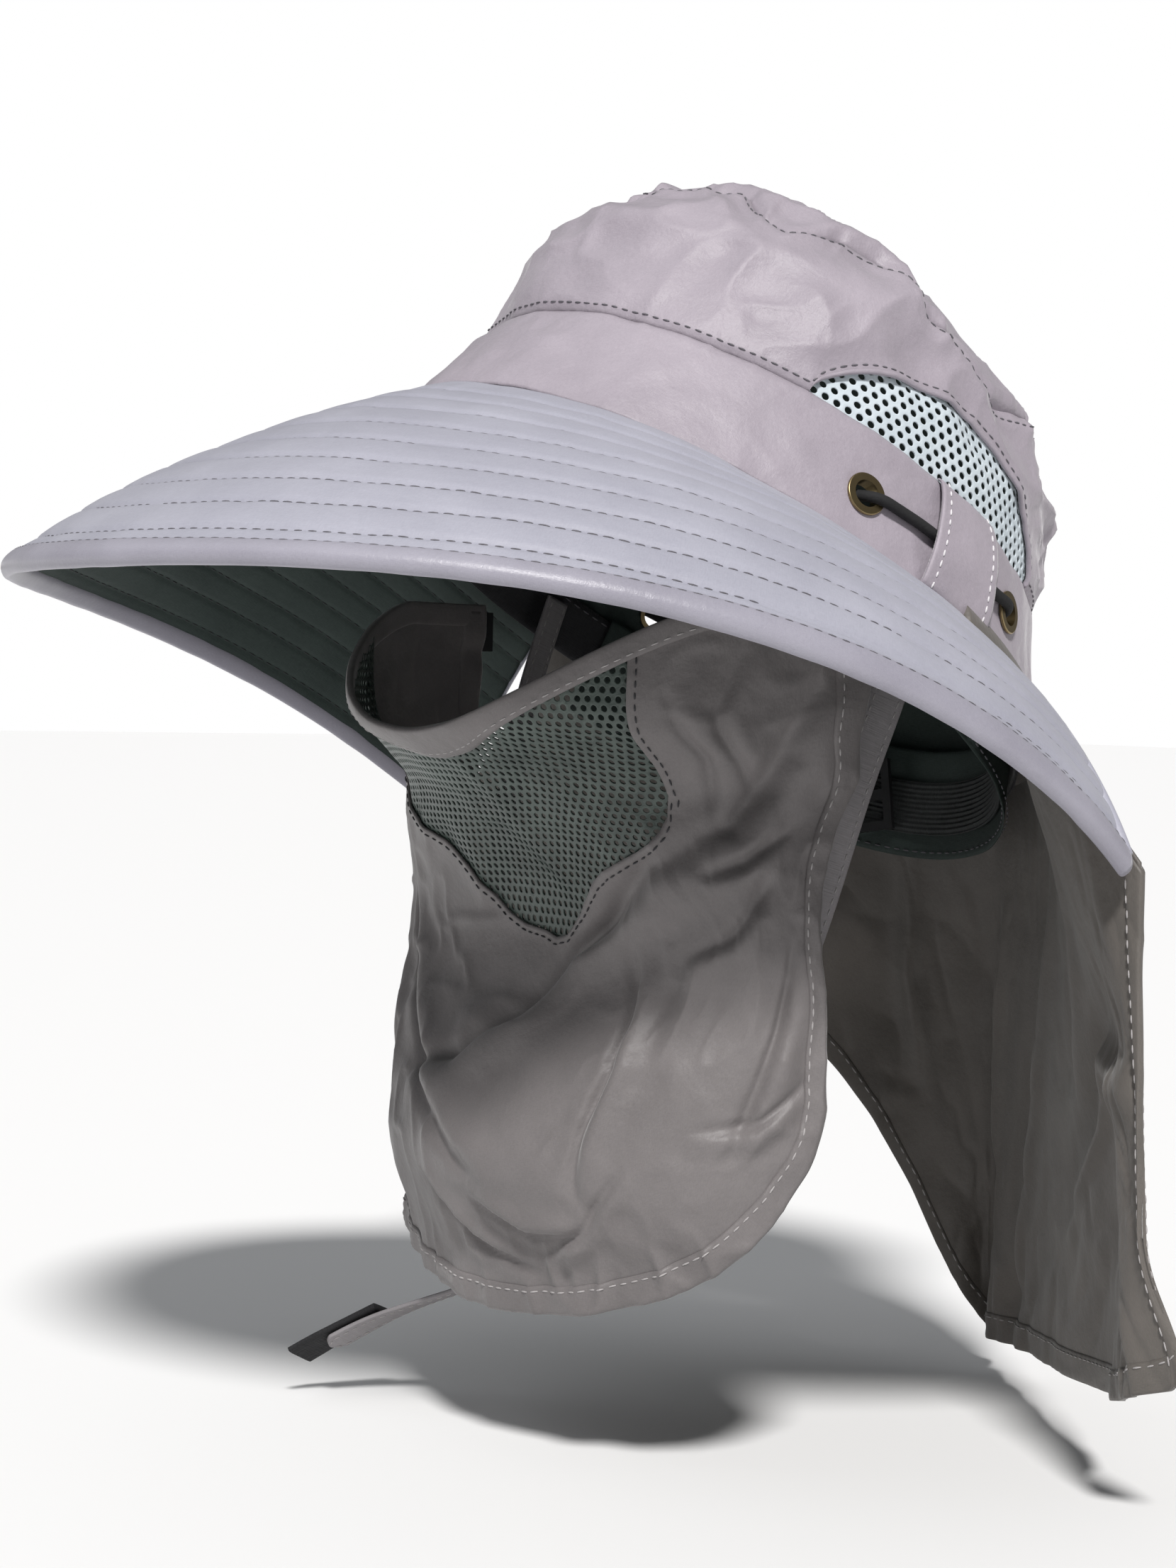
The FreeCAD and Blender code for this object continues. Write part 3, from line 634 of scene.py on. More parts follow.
def makeCrown():
    angles = np.arange(-180, 180, 0.6)
    share = spread(0, 1, 62)[None, :]
    angle = angles[:, None] + 0 * share
    low = ventTop(wrapAngle(angles))[:, None]
    height = low + (seamHeight(angles)[:, None] - low) * share
    outer = crownGrid(angle, height)
    wall = makeShell("crownWall", outer, crownGrid(angle, height, -crown["cloth"]),
                     [paints["crownNylon"], paints["underClothPaintedGreenBounce"]], closed=True)
    place(wall, "hat", "shell_cloth", "crown_wall")

    ringTaper = crownRing(seamHeight(angles))[0] / crown["halfWidth"]
    taper = ringTaper[:, None] * (1 - spread(0, 1, 80)[None, :])
    height = crown["height"] * (1 - taper ** crown["round"]) ** (1 / crown["power"])
    angle = angles[:, None] + 0 * taper
    height = np.minimum(height, crown["height"] - 1e-6)
    fade = easeBetween(taper, 0, 0.14)
    relief = crownRelief(angle, height)
    relief = relief * fade + relief[:, -3:-2].mean() * (1 - fade)
    outer = tipBack(crownPoint(angle, height, relief))
    outer[:, -1] = outer[:, -2].mean(0)
    inner = tipBack(crownPoint(angle, height, relief - crown["cloth"]))
    inner[:, -1] = inner[:, -2].mean(0)
    flat = np.concatenate([outer, outer[:1]])[..., :2]
    top = makeShell("crownTop", outer, inner, [paints["crownNylon"], paints["underClothPaintedGreenBounce"]], closed=True,
                    cloth=flat, merge=True)
    place(top, "hat", "shell_cloth", "crown_top")

    share = spread(0, 1, 34)[None, :]
    angle = np.arange(-180, 180, 0.7)[:, None] + 0 * share
    height = 0.1 + (crown["band"] + 0.1) * share + 0 * angle
    outer = crownGrid(angle, height, 0.15)
    middle = (angle[:, :-1] + 0.35), (height[:, :-1] + height[:, 1:]) / 2
    keepCells = np.ones(middle[1].shape, bool)
    for spotAngle, spotHeight in crown["eyelets"]:
        for sign in (-1, 1):
            spot = crownPoint(sign * spotAngle, spotHeight)
            keepCells &= np.linalg.norm(crownPoint(*middle) - spot, axis=-1) > 4.2
    band = makeShell("crownBand", outer, crownGrid(angle, height, 0.15 - crown["cloth"]),
                     [paints["crownNylon"], paints["underClothPaintedGreenBounce"]], closed=True, keepCells=keepCells)
    place(band, "hat", "shell_cloth", "crown_band")

    around = np.arange(-180, 180.1, 0.6)
    rows = [crownGrid(around, seamHeight(around) - 2.6, 0.1),
            crownGrid(around, ventTop(wrapAngle(around)) + 1.9, 0.1)]
    sewRows("crownSeamStitches", rows, "greyThreadAndPaintedShade", "hat", "shell_cloth", 2.9, 1.9, 0.5, 4)
    print("crown made")


def makeVents():
    pitch = {"across": 2.35, "up": 2.55, "thick": 0.45, "hole": 0.64}
    for sign, sideName in ((1, "left"), (-1, "right")):
        def spot(u, v, sign=sign):
            angle = sign * (crown["ventStart"] - 1.5 + u * pitch["across"])
            height = 27.0 + v * pitch["up"] * 0.95
            relief = crownRelief(angle, height + 0 * angle)
            return tipBack(crownPoint(angle, height + 0 * angle, relief * 0.7 - 1.5))
        knit = knitSheet("ventMesh" + sideName.capitalize(), spot, 29, 12, pitch["thick"], pitch["hole"],
                         "ventKnit")
        place(knit, "hat", "vent_mesh", "vent_mesh_" + sideName)
        angle = sign * np.concatenate([spread(crown["ventStart"], 64, 24), spread(64.2, 120, 120),
                                       spread(120.2, crown["ventEnd"] - 0.02, 24)])
        height = ventTop(angle) + 0.1
        centres = crownGrid(angle, height, -0.2)
        wide = tipBack(crownPoint(angle, height + 1)) - tipBack(crownPoint(angle, height))
        wide /= np.linalg.norm(wide, axis=1, keepdims=True)
        high = tipBack(crownPoint(angle, height, 1.0)) - tipBack(crownPoint(angle, height))
        if sign < 0:
            centres, wide, high = centres[::-1], wide[::-1], high[::-1]
        rim = rollAlong("ventRim" + sideName.capitalize(), centres, high, wide, 0.75, 0.85,
                        [paints["crownNylon"]], 12, 2)
        place(rim, "hat", "shell_cloth")
    print("vent meshes made")


tab = {"start": 88.0, "end": 102.0, "lowEnd": 103.5, "lift": 4.6, "cloth": 1.0}


def makeTabs():
    share = spread(0, 1, 50)
    across = spread(0, 1, 26)
    for sign, sideName in ((1, "left"), (-1, "right")):
        a, h = np.meshgrid(across, share, indexing="ij")
        end = tab["lowEnd"] + (tab["end"] - tab["lowEnd"]) * h
        angle = sign * (tab["start"] + (end - tab["start"]) * a)
        height = 0.6 + 29.9 * h
        lift = 0.9 + (tab["lift"] - 0.9) * np.sin(np.pi * h) ** 0.45 - 0.35 * bell(a - 0.5, 0.7)
        lift = lift + 0.35 * clothNoise(np.stack([angle, height, 0 * height], -1), 6, 3)
        outer = tipBack(crownPoint(angle, height, lift))
        inner = tipBack(crownPoint(angle, height, lift - tab["cloth"]))
        if sign < 0:
            outer, inner = outer[::-1], inner[::-1]
        piece = makeShell("cordTab" + sideName.capitalize(), outer, inner, [paints["crownNylon"]])
        place(piece, "hat", "shell_cloth", "cord_tab_" + sideName)
        rows = [outer[k] + gridNormals(outer)[k] * 0.1 for k in (3, 23)]
        sewRows("cordTabStitches" + sideName.capitalize(), [row[2:-2] for row in rows], "whiteThread", "hat",
                "shell_cloth", 2.7, 1.9, 0.55, 9)
    print("cord tabs made")


inside = {"sweatInset": 2.2, "linerInset": 4.4, "webbingInset": 6.0, "ribs": 11}


def crownStrip(start, end, low, high, inset, thickness, columns, rows, wave=0.0, ribs=0):
    angle, height = np.meshgrid(spread(start, end, columns), spread(low, high, rows), indexing="ij")
    point = crownPoint(angle, height)
    bow = wave * clothNoise(point, 17, 6)
    share = (height - low) / (high - low)
    ridge = 0.22 * np.cos(2 * np.pi * ribs * share) if ribs else 0
    swell = 1 - np.abs(2 * share - 1) ** 8 * 0.6
    outer = crownPoint(angle, height, -inset + bow - 0.1 * thickness * (1 - swell) + ridge * 0.3)
    inner = crownPoint(angle, height, -inset - thickness * swell + bow - ridge)
    return tipBack(outer), tipBack(inner)


def makeInside():
    outer, inner = crownStrip(-180, 179.2, -8, 7, inside["sweatInset"], 1.2, 300, 16, 0.25)
    band = makeShell("sweatbandKnit", outer, inner, [paints["sweatKnit"]], closed=True)
    place(band, "hat", "sweatband_cloth", "sweatband")
    outer, inner = crownStrip(104, 256, -20, 8, inside["linerInset"], 0.8, 150, 28, 0.5)
    liner = makeShell("rearLiner", outer, inner, [paints["underClothPaintedGreenBounce"]])
    place(liner, "hat", "lining_cloth", "rear_liner")
    outer, inner = crownStrip(128, 232, -14, 0, inside["webbingInset"], 1.1, 260, 88, 0.0, inside["ribs"])
    webbing = makeShell("sizeWebbing", outer, inner, [paints["darkWebbing"]])
    place(webbing, "hat", "webbing", "size_webbing")
    rows = [tipBack(crownPoint(spread(-180, 180, 400), 5.4, -inside["sweatInset"] - 1.25)),
            tipBack(crownPoint(spread(105, 255, 220), -18.4, -inside["linerInset"] - 0.9)),
            tipBack(crownPoint(spread(105, 255, 220), -18.4, -inside["linerInset"] + 0.5))]
    sewRows("liningStitches", rows, "greyThreadAndPaintedShade", "hat", "lining_cloth", 3.4, 2.3, 0.5, 6)
    print("sweatband, liner and webbing made")


brim = {
    "front": 113.5, "side": 76.7, "dropFront": 53.3, "dropSide": 35.2, "camber": 6.0,
    "tailAtCrown": 94.0, "tailAtEdge": 105.4, "thickness": 3.2,
    "rows": [0.085, 0.175, 0.275, 0.385, 0.495, 0.605, 0.715, 0.82, 0.93],
    "groove": 0.6, "puff": 0.45, "pucker": 0.22,
    "bindingHalfWidth": 3.3, "bindingHalfHeight": 2.45,
}


def brimPoint(side, reach, lift):
    side, reach = np.broadcast_arrays(np.asarray(side, float), np.asarray(reach, float))

    def edge(angle, out):
        turn = np.radians(angle)
        share = np.sin(turn) ** 2
        width = (brim["front"] + (brim["side"] - brim["front"]) * share) * out
        drop = np.radians(brim["dropFront"] + (brim["dropSide"] - brim["dropFront"]) * share)
        a, b = crown["openingHalfWidth"], crown["openingHalfLength"]
        start = np.stack([a * np.sin(turn), -b * np.cos(turn), 0 * turn], -1)
        away = np.stack([np.sin(turn) / a, -np.cos(turn) / b, 0 * turn], -1)
        away /= np.linalg.norm(away, axis=-1, keepdims=True)
        down = np.array([0, 0, 1.0])
        up = away * np.sin(drop)[..., None] + down * np.cos(drop)[..., None]
        return start + away * (width * np.cos(drop))[..., None] - down * (width * np.sin(drop))[..., None], up

    inner, up = edge(side * brim["tailAtCrown"], 0.004)
    outer, upOuter = edge(side * brim["tailAtEdge"], 1.0)
    held = np.minimum(reach, 1)
    rise = brim["camber"] * 4 * held * (1 - held)
    facing = up * (1 - reach[..., None]) + upOuter * reach[..., None]
    facing /= np.linalg.norm(facing, axis=-1, keepdims=True)
    return inner + (outer - inner) * reach[..., None] + facing * (lift + rise - brim["thickness"])[..., None]


def brimWidth(side):
    return brim["front"] + (brim["side"] - brim["front"]) * np.sin(np.radians(side * 100)) ** 2


def brimRelief(side, reach):
    width = brimWidth(side)
    rows = np.array(brim["rows"])
    gap = np.abs(reach[..., None] - rows) * width[..., None]
    near = gap.min(-1)
    flat = np.stack([side * 190, reach * 113, 0 * side], -1)
    relief = -brim["groove"] * bell(near, 0.95) + brim["puff"] * (1 - np.exp(-near / 2.6))
    relief += brim["pucker"] * clothNoise(flat * np.array([1, 0.25, 1]), 4.2, 5) * np.exp(-near / 3.0)
    relief += 0.35 * clothNoise(flat, 23, 9) + 0.12 * clothNoise(flat, 8, 12)
    relief += 1.3 * clothNoise(flat, 75, 17) * reach
    return relief


def makeBrim():
    side, reach = np.meshgrid(spread(-1, 1, 320), spread(0, 0.985, 150)[::-1], indexing="ij")
    relief = brimRelief(side, reach)
    top = tipBack(brimPoint(side, reach, 3.3 + relief))
    inner = tipBack(brimPoint(side, reach, 2.35 + 0 * relief))
    cover = makeShell("brimCover", top, inner, [paints["brimNylon"]])
    place(cover, "hat", "brim_cloth", "brim_cover")

    side, reach = np.meshgrid(spread(-1, 1, 300), spread(0.03, 0.985, 120), indexing="ij")
    relief = brimRelief(side, reach) * 0.7
    under = tipBack(brimPoint(side, reach, 0.1 - relief))
    lining = makeShell("brimUnderside", under, tipBack(brimPoint(side, reach, 0.75 + 0 * relief)),
                       [paints["underClothPaintedGreenBounce"]])
    place(lining, "hat", "lining_cloth", "brim_lining")

    side = spread(-1, 1, 420)
    centre = tipBack(brimPoint(side, 0.997 + 0 * side, 1.65 + 1.3 * clothNoise(
        np.stack([side * 190, 0 * side + 113, 0 * side], -1), 75, 17)))
    outward = centre - tipBack(brimPoint(side, 0.96 + 0 * side, 1.65 + 0 * side))
    outward /= np.linalg.norm(outward, axis=1, keepdims=True)
    upward = tipBack(brimPoint(side, 0.997 + 0 * side, 3.0 + 0 * side)) - tipBack(
        brimPoint(side, 0.997 + 0 * side, 2.0 + 0 * side))
    ripple = 0.12 * clothNoise(np.stack([side * 190, 0 * side, 0 * side], -1), 5, 2)
    binding = rollAlong("brimBinding", centre, upward, outward, brim["bindingHalfHeight"] + ripple,
                        brim["bindingHalfWidth"] + ripple, [paints["bindingSatin"]], 28, 2.5)
    place(binding, "hat", "binding_cloth", "brim_binding")

    fine = spread(-0.993, 0.993, 700)
    tops, unders = [], []
    for at in brim["rows"]:
        here = fine, np.full_like(fine, at)
        relief = brimRelief(*here)
        tops.append(tipBack(brimPoint(*here, 3.35 + relief)))
        unders.append(tipBack(brimPoint(*here, 0.05 - relief * 0.7)))
    # the brim rows' dark thread is painted shade of the grooves
    sewRows("brimStitches", tops, "greyThreadAndPaintedShade", "hat", "brim_cloth", 3.5, 2.5, 0.5, 12)
    sewRows("brimUnderStitches", unders, "darkThread", "hat", "lining_cloth", 3.5, 2.5, 0.45, 13)
    edgeRow = centre + upward * (brim["bindingHalfHeight"] - 0.28) - outward * 1.7
    sewRows("brimEdgeStitches", [edgeRow], "greyThreadAndPaintedShade", "hat", "binding_cloth", 3.5, 2.4, 0.45, 14)

    reach = spread(0.02, 0.99, 90)
    for sign, sideName in ((-1, "right"), (1, "left")):
        ridge = tipBack(brimPoint(sign + 0 * reach, reach, 2.4 + 0 * reach))
        upward = tipBack(brimPoint(sign + 0 * reach, reach, 3.0 + 0 * reach)) - tipBack(
            brimPoint(sign + 0 * reach, reach, 2.0 + 0 * reach))
        back = np.cross(np.gradient(ridge, axis=0), upward)
        back /= np.linalg.norm(back, axis=1, keepdims=True)
        piping = rollAlong("brimTail" + sideName.capitalize(), ridge, back, upward, 1.5, 1.7,
                           [paints["brimNylon"]], 14, 2)
        place(piping, "hat", "brim_cloth")
    print("brim made")


mask = {
    "end": 80.0,
    # height, half width, squareness, centre offset, front
    "rows": [(10, 82.5, 2.0, 0, -100), (-20, 82.5, 2.0, 0, -101), (-34, 82, 2.0, -3, -98),
             (-42, 82, 2.0, -5, -87), (-50, 81, 2.0, -9, -78), (-65, 80, 2.7, -13, -66),
             (-82, 80, 3.4, -14, -57), (-100, 80, 2.8, -14, -60), (-118, 80, 2.3, -14, -71),
             (-142, 80, 2.0, -14, -80), (-165, 80, 2.0, -14, -71), (-185, 80, 2.0, -14, -66)],
    "topFront": -36.0, "topSide": -2.0, "topAngle": 62.0,
    "sideBottom": -120.0, "round": 61.0,
    "meshAngle": 44.0,
    # lower outline of the breathing mesh: angle, height
    "meshOutline": [(-60, -52), (-44, -48), (-40, -51.5), (-34, -56.5), (-26, -61), (-16, -65.5), (-9, -71.5),
                    (-4, -78.5), (-0.5, -85), (1.5, -87.5), (3.2, -86.5), (5, -82), (9, -76), (13, -72),
                    (18, -69), (24, -66.5), (30, -64), (35, -61.5), (39, -58.5), (42, -55), (44, -50),
                    (60, -54)],
    "edge": 7.0, "topEdge": 6.2, "cloth": 0.7,
    "perDegree": 1.35,          # millimetres of cloth to a degree
    # folds: line of (angle, height), width, lift, dip
    "folds": [
        ([(46, -64), (30, -69), (16, -79), (6, -91), (2, -107), (-8, -119), (-28, -126)], 5.5, 3.4, 4.6),
        ([(78, -14), (68, -40), (56, -58), (38, -66)], 6.0, 2.4, 2.8),
        ([(70, -58), (58, -66), (44, -70)], 3.2, 1.8, 2.0),
        ([(18, -86), (24, -97), (30, -117), (30, -150)], 4.0, 2.8, 3.2),
        ([(-44, -78), (-32, -104), (-16, -128), (8, -148)], 5.5, 2.2, 2.8),
        ([(72, -84), (67, -108), (60, -138)], 5.0, 2.0, 2.2),
        ([(76, -118), (64, -129), (50, -131)], 3.0, 1.6, 1.8),
        ([(50, -24), (54, -40), (52, -56)], 3.4, 1.4, 1.6),
        ([(62, -12), (58, -30), (60, -50)], 3.4, 1.6, 1.4),
        ([(2, -152), (16, -159), (32, -157)], 2.8, 1.8, 2.0),
        ([(-14, -148), (0, -163), (16, -169)], 2.8, 1.6, 1.8),
        ([(40, -140), (30, -156), (16, -166)], 2.6, 1.6, 1.6),
        ([(-60, -70), (-54, -100), (-38, -134)], 5.5, 2.2, 2.2),
        ([(66, -70), (50, -84), (34, -90)], 4.0, 1.6, 1.8),
    ],
    "crumple": 1.25,
}


def maskRow(height):
    rows = np.array(mask["rows"], float)
    height = np.clip(height, rows[-1, 0], rows[0, 0])
    at = np.clip(np.searchsorted(-rows[:, 0], -height, side="left") - 1, 0, len(rows) - 2)
    before, high, low, after = (rows[np.clip(at + k, 0, len(rows) - 1)] for k in (-1, 0, 1, 2))
    gap = low[..., :1] - high[..., :1]
    part = (height[..., None] - high[..., :1]) / gap
    leave = (low - before) / (low[..., :1] - before[..., :1]) * gap
    arrive = (after - high) / (after[..., :1] - high[..., :1]) * gap
    value = (high + part * leave + part**2 * (3 * (low - high) - 2 * leave - arrive)
             + part**3 * (2 * (high - low) + leave + arrive))
    return [value[..., k] for k in (1, 2, 3, 4)]


def maskPoint(angle, height, inset=0.0):
    angle, height = np.broadcast_arrays(np.asarray(angle, float), np.asarray(height, float))
    halfWidth, square, offset, front = maskRow(height)
    turn, power = np.radians(angle), 2 / square
    across = np.sign(turn) * np.abs(np.sin(turn)) ** power
    ahead = np.abs(np.cos(turn)) ** power
    return np.stack([(halfWidth - inset) * across, offset - (offset - front - inset) * ahead, height], -1)


def maskTop(angle):
    share = np.minimum(np.abs(angle) / mask["topAngle"], 1)
    return mask["topSide"] + (mask["topFront"] - mask["topSide"]) * np.cos(np.pi / 2 * share) ** 1.5


def maskBottom(angle):
    share = np.minimum(np.abs(angle) / mask["end"], 1)
    return mask["sideBottom"] - mask["round"] * np.sqrt(1 - share**2)


def meshEdge(angle):
    # a blunt point at the chin, rising to the mesh's straight sides
    spots = np.array(mask["meshOutline"], float)
    return np.interp(angle, spots[:, 0], spots[:, 1])


def maskRelief(angle, height):
    across = angle * mask["perDegree"]
    relief = np.zeros(np.broadcast(angle, height).shape)
    for line, width, lift, dip in mask["folds"]:
        points = [(a * mask["perDegree"], h) for a, h in line]
        relief += foldAlong(across, height, points, width, lift, dip)
    flat = np.stack([across, height + 0 * across, 0 * across + 0 * height], -1)
    relief += mask["crumple"] * (0.6 * creaseNoise(flat, 24, 3) + 0.6 * clothNoise(flat, 34, 7)
                                 + 0.25 * creaseNoise(flat, 9, 9))
    edge = np.minimum(height - maskBottom(angle), (mask["end"] - np.abs(angle)) * mask["perDegree"])
    pucker = creaseNoise(np.stack([across, height * 0.5, 0 * across], -1), 8, 13)
    relief += 0.7 * pucker * np.exp(-np.maximum(edge - 7, 0) / 8)
    quiet = easeBetween(maskTop(angle) - height, 2, 12)
    return relief * (0.25 + 0.75 * quiet)


def maskSpot(angle, height, out=0.0):
    # a point of the worn surface at any angle and height, with the same normal everywhere it is asked for
    turn = maskPoint(angle + 0.3, height) - maskPoint(angle - 0.3, height)
    rise = maskPoint(angle, height + 0.5) - maskPoint(angle, height - 0.5)
    facing = np.cross(turn, rise)
    facing /= np.maximum(np.linalg.norm(facing, axis=-1, keepdims=True), 1e-9)
    return maskPoint(angle, height) + facing * (maskRelief(angle, height) + out)[..., None]


def maskBorder(count):
    # from the top of the right side, down, round the chin and up the left side
    side = spread(-4, mask["sideBottom"], count // 3)[:-1]
    turn = spread(0, math.pi, count)
    share = np.concatenate([np.full_like(side, -1), -np.cos(turn), np.full_like(side, 1)])
    angle = share * (mask["end"] - 0.01)
    height = np.concatenate([side, mask["sideBottom"] - mask["round"] * np.sin(turn), side[::-1]])
    return angle, height


def makeMask():
    narrow = mask["meshAngle"]
    flank, belowMesh = 70, 96           # columns beside the mesh, rows below it
    angles = np.concatenate([spread(-79.5, -narrow, flank)[:-1], spread(-narrow, narrow, 220),
                             spread(narrow, 79.5, flank)[1:]])
    lower = spread(0, 1, belowMesh)[None, :]
    upper = spread(0, 1, 40)[None, 1:]
    low = maskBottom(angles)[:, None] + 1.5
    knee = meshEdge(angles)[:, None]
    high = maskTop(angles)[:, None] - 1
    height = np.concatenate([low + (knee - low) * lower, knee + (high - knee) * upper], axis=1)
    angle = angles[:, None] + 0 * height
    keepCells = np.ones((len(angles) - 1, height.shape[1] - 1), bool)
    keepCells[flank:-flank, belowMesh:] = False
    inner = maskSpot(angle, height, -0.1 - mask["cloth"])
    cloth = makeShell("maskCloth", maskSpot(angle, height, -0.1), inner, [paints["maskNylonPaintedShade"]],
                      keepCells=keepCells)
    place(cloth, "face_mask", "mask_cloth", "mask_panel_left", "mask_panel_right", "mask_chin_panel")

    pitch, columns, rows = {"across": 2.5, "up": 2.3}, 66, 46
    angles = spread(-narrow - 3, narrow + 3, 400)
    depths = spread(-2, -92, 300)
    middle = maskPoint(20.0 + 0 * depths, depths)
    fall = np.concatenate([[0], np.cumsum(np.linalg.norm(np.diff(middle, axis=0), axis=1))])

    def spot(u, v):
        level = np.interp(v[0] * pitch["up"], fall, depths)
        angle = np.zeros_like(u)
        for k in range(u.shape[1]):
            line = maskPoint(angles, level[k] + 0 * angles)
            gone = np.concatenate([[0], np.cumsum(np.linalg.norm(np.diff(line, axis=0), axis=1))])
            gone -= np.interp(0, angles, gone)
            angle[:, k] = np.interp((u[:, k] - columns / 2) * pitch["across"], gone, angles)
        height = level[None, :] + 0 * angle
        outside = (height < meshEdge(angle) - 6) | (height > maskTop(angle) - 0.8)
        points = maskSpot(angle, height, -1.3)
        points[outside] = np.nan
        return points

    knit = knitSheet("maskMesh", spot, columns, rows, 0.5, 0.62, "maskKnit")
    place(knit, "face_mask", "mask_mesh", "mask_mesh")

    angle, height = maskBorder(300)
    flat = np.stack([angle * mask["perDegree"], height], -1)
    tangent = np.gradient(flat, axis=0)
    inward = np.stack([-tangent[:, 1], tangent[:, 0]], -1)
    inward /= np.linalg.norm(inward, axis=1, keepdims=True)
    across = spread(0, mask["edge"], 12)
    hemFlat = flat[:, None] + inward[:, None] * across[None, :, None]
    a, h = hemFlat[..., 0] / mask["perDegree"], hemFlat[..., 1]
    swell = 1 - np.abs(2 * across / mask["edge"] - 1)[None, :] ** 6
    outer = maskSpot(a, h, 0.25 + 0.5 * swell)
    inner = maskSpot(a, h, -1.0 - 0.5 * swell)
    hem = makeShell("maskHem", outer, inner, [paints["maskNylonPaintedShade"]])
    place(hem, "face_mask", "mask_cloth", "mask_hem")

    angle, share = np.meshgrid(spread(-79.8, 79.8, 260), spread(0, 1, 12), indexing="ij")
    height = maskTop(angle) - mask["topEdge"] * (1 - share)
    swell = 1 - np.abs(2 * share - 1) ** 4
    outer, inner = maskSpot(angle, height, 0.3 + 0.5 * swell), maskSpot(angle, height, -1.1 - 0.4 * swell)
    binding = makeShell("maskBinding", outer, inner, [paints["maskNylonPaintedShade"]])
    place(binding, "face_mask", "mask_cloth", "mask_binding")

    line = spread(-79, 79, 400)
    seams = [maskSpot(line, maskTop(line) - mask["topEdge"] + 1.3, 0.72), maskSpot(a[:, 10], h[:, 10], 0.72)]
    sewRows("maskStitches", seams, "paleThread", "face_mask", "mask_cloth", 3.2, 2.2, 0.5, 21)
    across = spread(-narrow - 1.3, narrow + 1.3, 300)
    side = spread(0, 1, 60)[:-1]
    start, end = (float(maskTop(a)) - 7 for a in across[[0, -1]])
    leftEnd, rightEnd = meshEdge(across[[0, -1]]) - 1.8
    line = np.concatenate([across[0] + 0 * side, across, across[-1] + 0 * side])
    depth = np.concatenate([start + (leftEnd - start) * side, meshEdge(across) - 1.8,
                            (end + (rightEnd - end) * side)[::-1]])
    row = maskSpot(line, depth, 0.05)
    sewRows("maskMeshStitches", [row], "darkThread", "face_mask", "mask_cloth", 2.8, 1.9, 0.5, 22)
    print("face mask made")
    return cloth


flap = {
    "corner": (140.0, 15.0, -62.0), "tail": 97.5, "cornerShare": 0.7,
    "bottomLeft": -182.0, "bottomRear": -207.0, "bottomRight": -118.0,
    "halfWidth": 142.0, "sideBack": 14.0, "rearBack": 92.0, "plan": 1.8, "rightRise": 0.47,
    "edge": 7.5, "hemShare": 0.032, "cloth": 0.8,
    "flutes": 3.0, "crumple": 1.5, "flare": 10.0,
    # folds: line of (side, down), width, lift, dip
    "folds": [
        ([(0.78, 6), (0.66, 34), (0.60, 70), (0.52, 104)], 9.0, 3.4, 3.0),
        ([(0.42, 20), (0.36, 60), (0.30, 100), (0.22, 140)], 10.0, 3.0, 3.4),
        ([(0.94, 60), (0.80, 88), (0.62, 116), (0.44, 138)], 9.0, 3.6, 3.6),
        ([(0.12, 30), (0.08, 80), (0.10, 130)], 9.0, 2.4, 2.8),
        ([(-0.16, 26), (-0.22, 60), (-0.20, 96)], 9.0, 2.6, 2.6),
        ([(-0.50, 12), (-0.42, 50), (-0.46, 84)], 9.0, 2.8, 2.8),
        ([(-0.80, 10), (-0.70, 40), (-0.74, 80)], 9.0, 2.6, 2.6),
    ],
}


def flapPath(side):
    side = np.asarray(side, float)
    size = np.abs(side)
    corner = np.array(flap["corner"])
    tailPoint = tipBack(crownPoint(flap["tail"], 0.0, 3.2))
    part = np.clip((size - flap["cornerShare"]) / (1 - flap["cornerShare"]), 0, 1)
    angle = 180 - (180 - flap["tail"]) * np.minimum(size / flap["cornerShare"], 1)
    top = tipBack(crownPoint(angle, 0 * angle, 3.2 + 0 * angle))
    alongTail = tailPoint + (corner - tailPoint) * part[..., None]
    top = np.where((size >= flap["cornerShare"])[..., None], alongTail, top)
    bow = np.pi / 2 * size
    left = flap["bottomRear"] + (flap["bottomLeft"] - flap["bottomRear"]) * size**2
    rise = np.sin(np.pi / 2 * np.minimum(1, size / flap["rightRise"])) ** 2
    right = flap["bottomRear"] + (flap["bottomRight"] - flap["bottomRear"]) * rise
    low = np.where(side < 0, right, left)
    back = flap["sideBack"] + flap["rearBack"] * np.maximum(np.cos(bow), 0) ** flap["plan"]
    bottom = np.stack([flap["halfWidth"] * np.sin(bow) ** flap["plan"], back, low], -1)
    sign = np.where(side < 0, -1.0, 1.0)
    mirror = np.stack([sign, 1 + 0 * sign, 1 + 0 * sign], -1)
    return top * mirror, bottom * mirror


def flapLength(side):
    top, bottom = flapPath(side)
    return top[..., 2] - bottom[..., 2]


def flapPoint(side, down, out):
    side, down = np.broadcast_arrays(np.asarray(side, float), np.asarray(down, float))
    top, bottom = flapPath(side)
    drop = top[..., 2] - bottom[..., 2]
    ease = 1 - (1 - np.minimum(down / drop, 1)) ** 2.2
    point = np.stack([top[..., 0] + (bottom[..., 0] - top[..., 0]) * ease,
                      top[..., 1] + (bottom[..., 1] - top[..., 1]) * ease, top[..., 2] - down], -1)
    before, after = flapPath(np.maximum(side - 0.02, -1)), flapPath(np.minimum(side + 0.02, 1))
    ahead = (after[0] - before[0]) * (1 - ease)[..., None] + (after[1] - before[1]) * ease[..., None]
    away = np.stack([-ahead[..., 1], ahead[..., 0], 0 * ease], -1)
    away /= np.maximum(np.linalg.norm(away, axis=-1, keepdims=True), 1e-9)
    return point + away * (np.asarray(out) + 0 * down)[..., None]


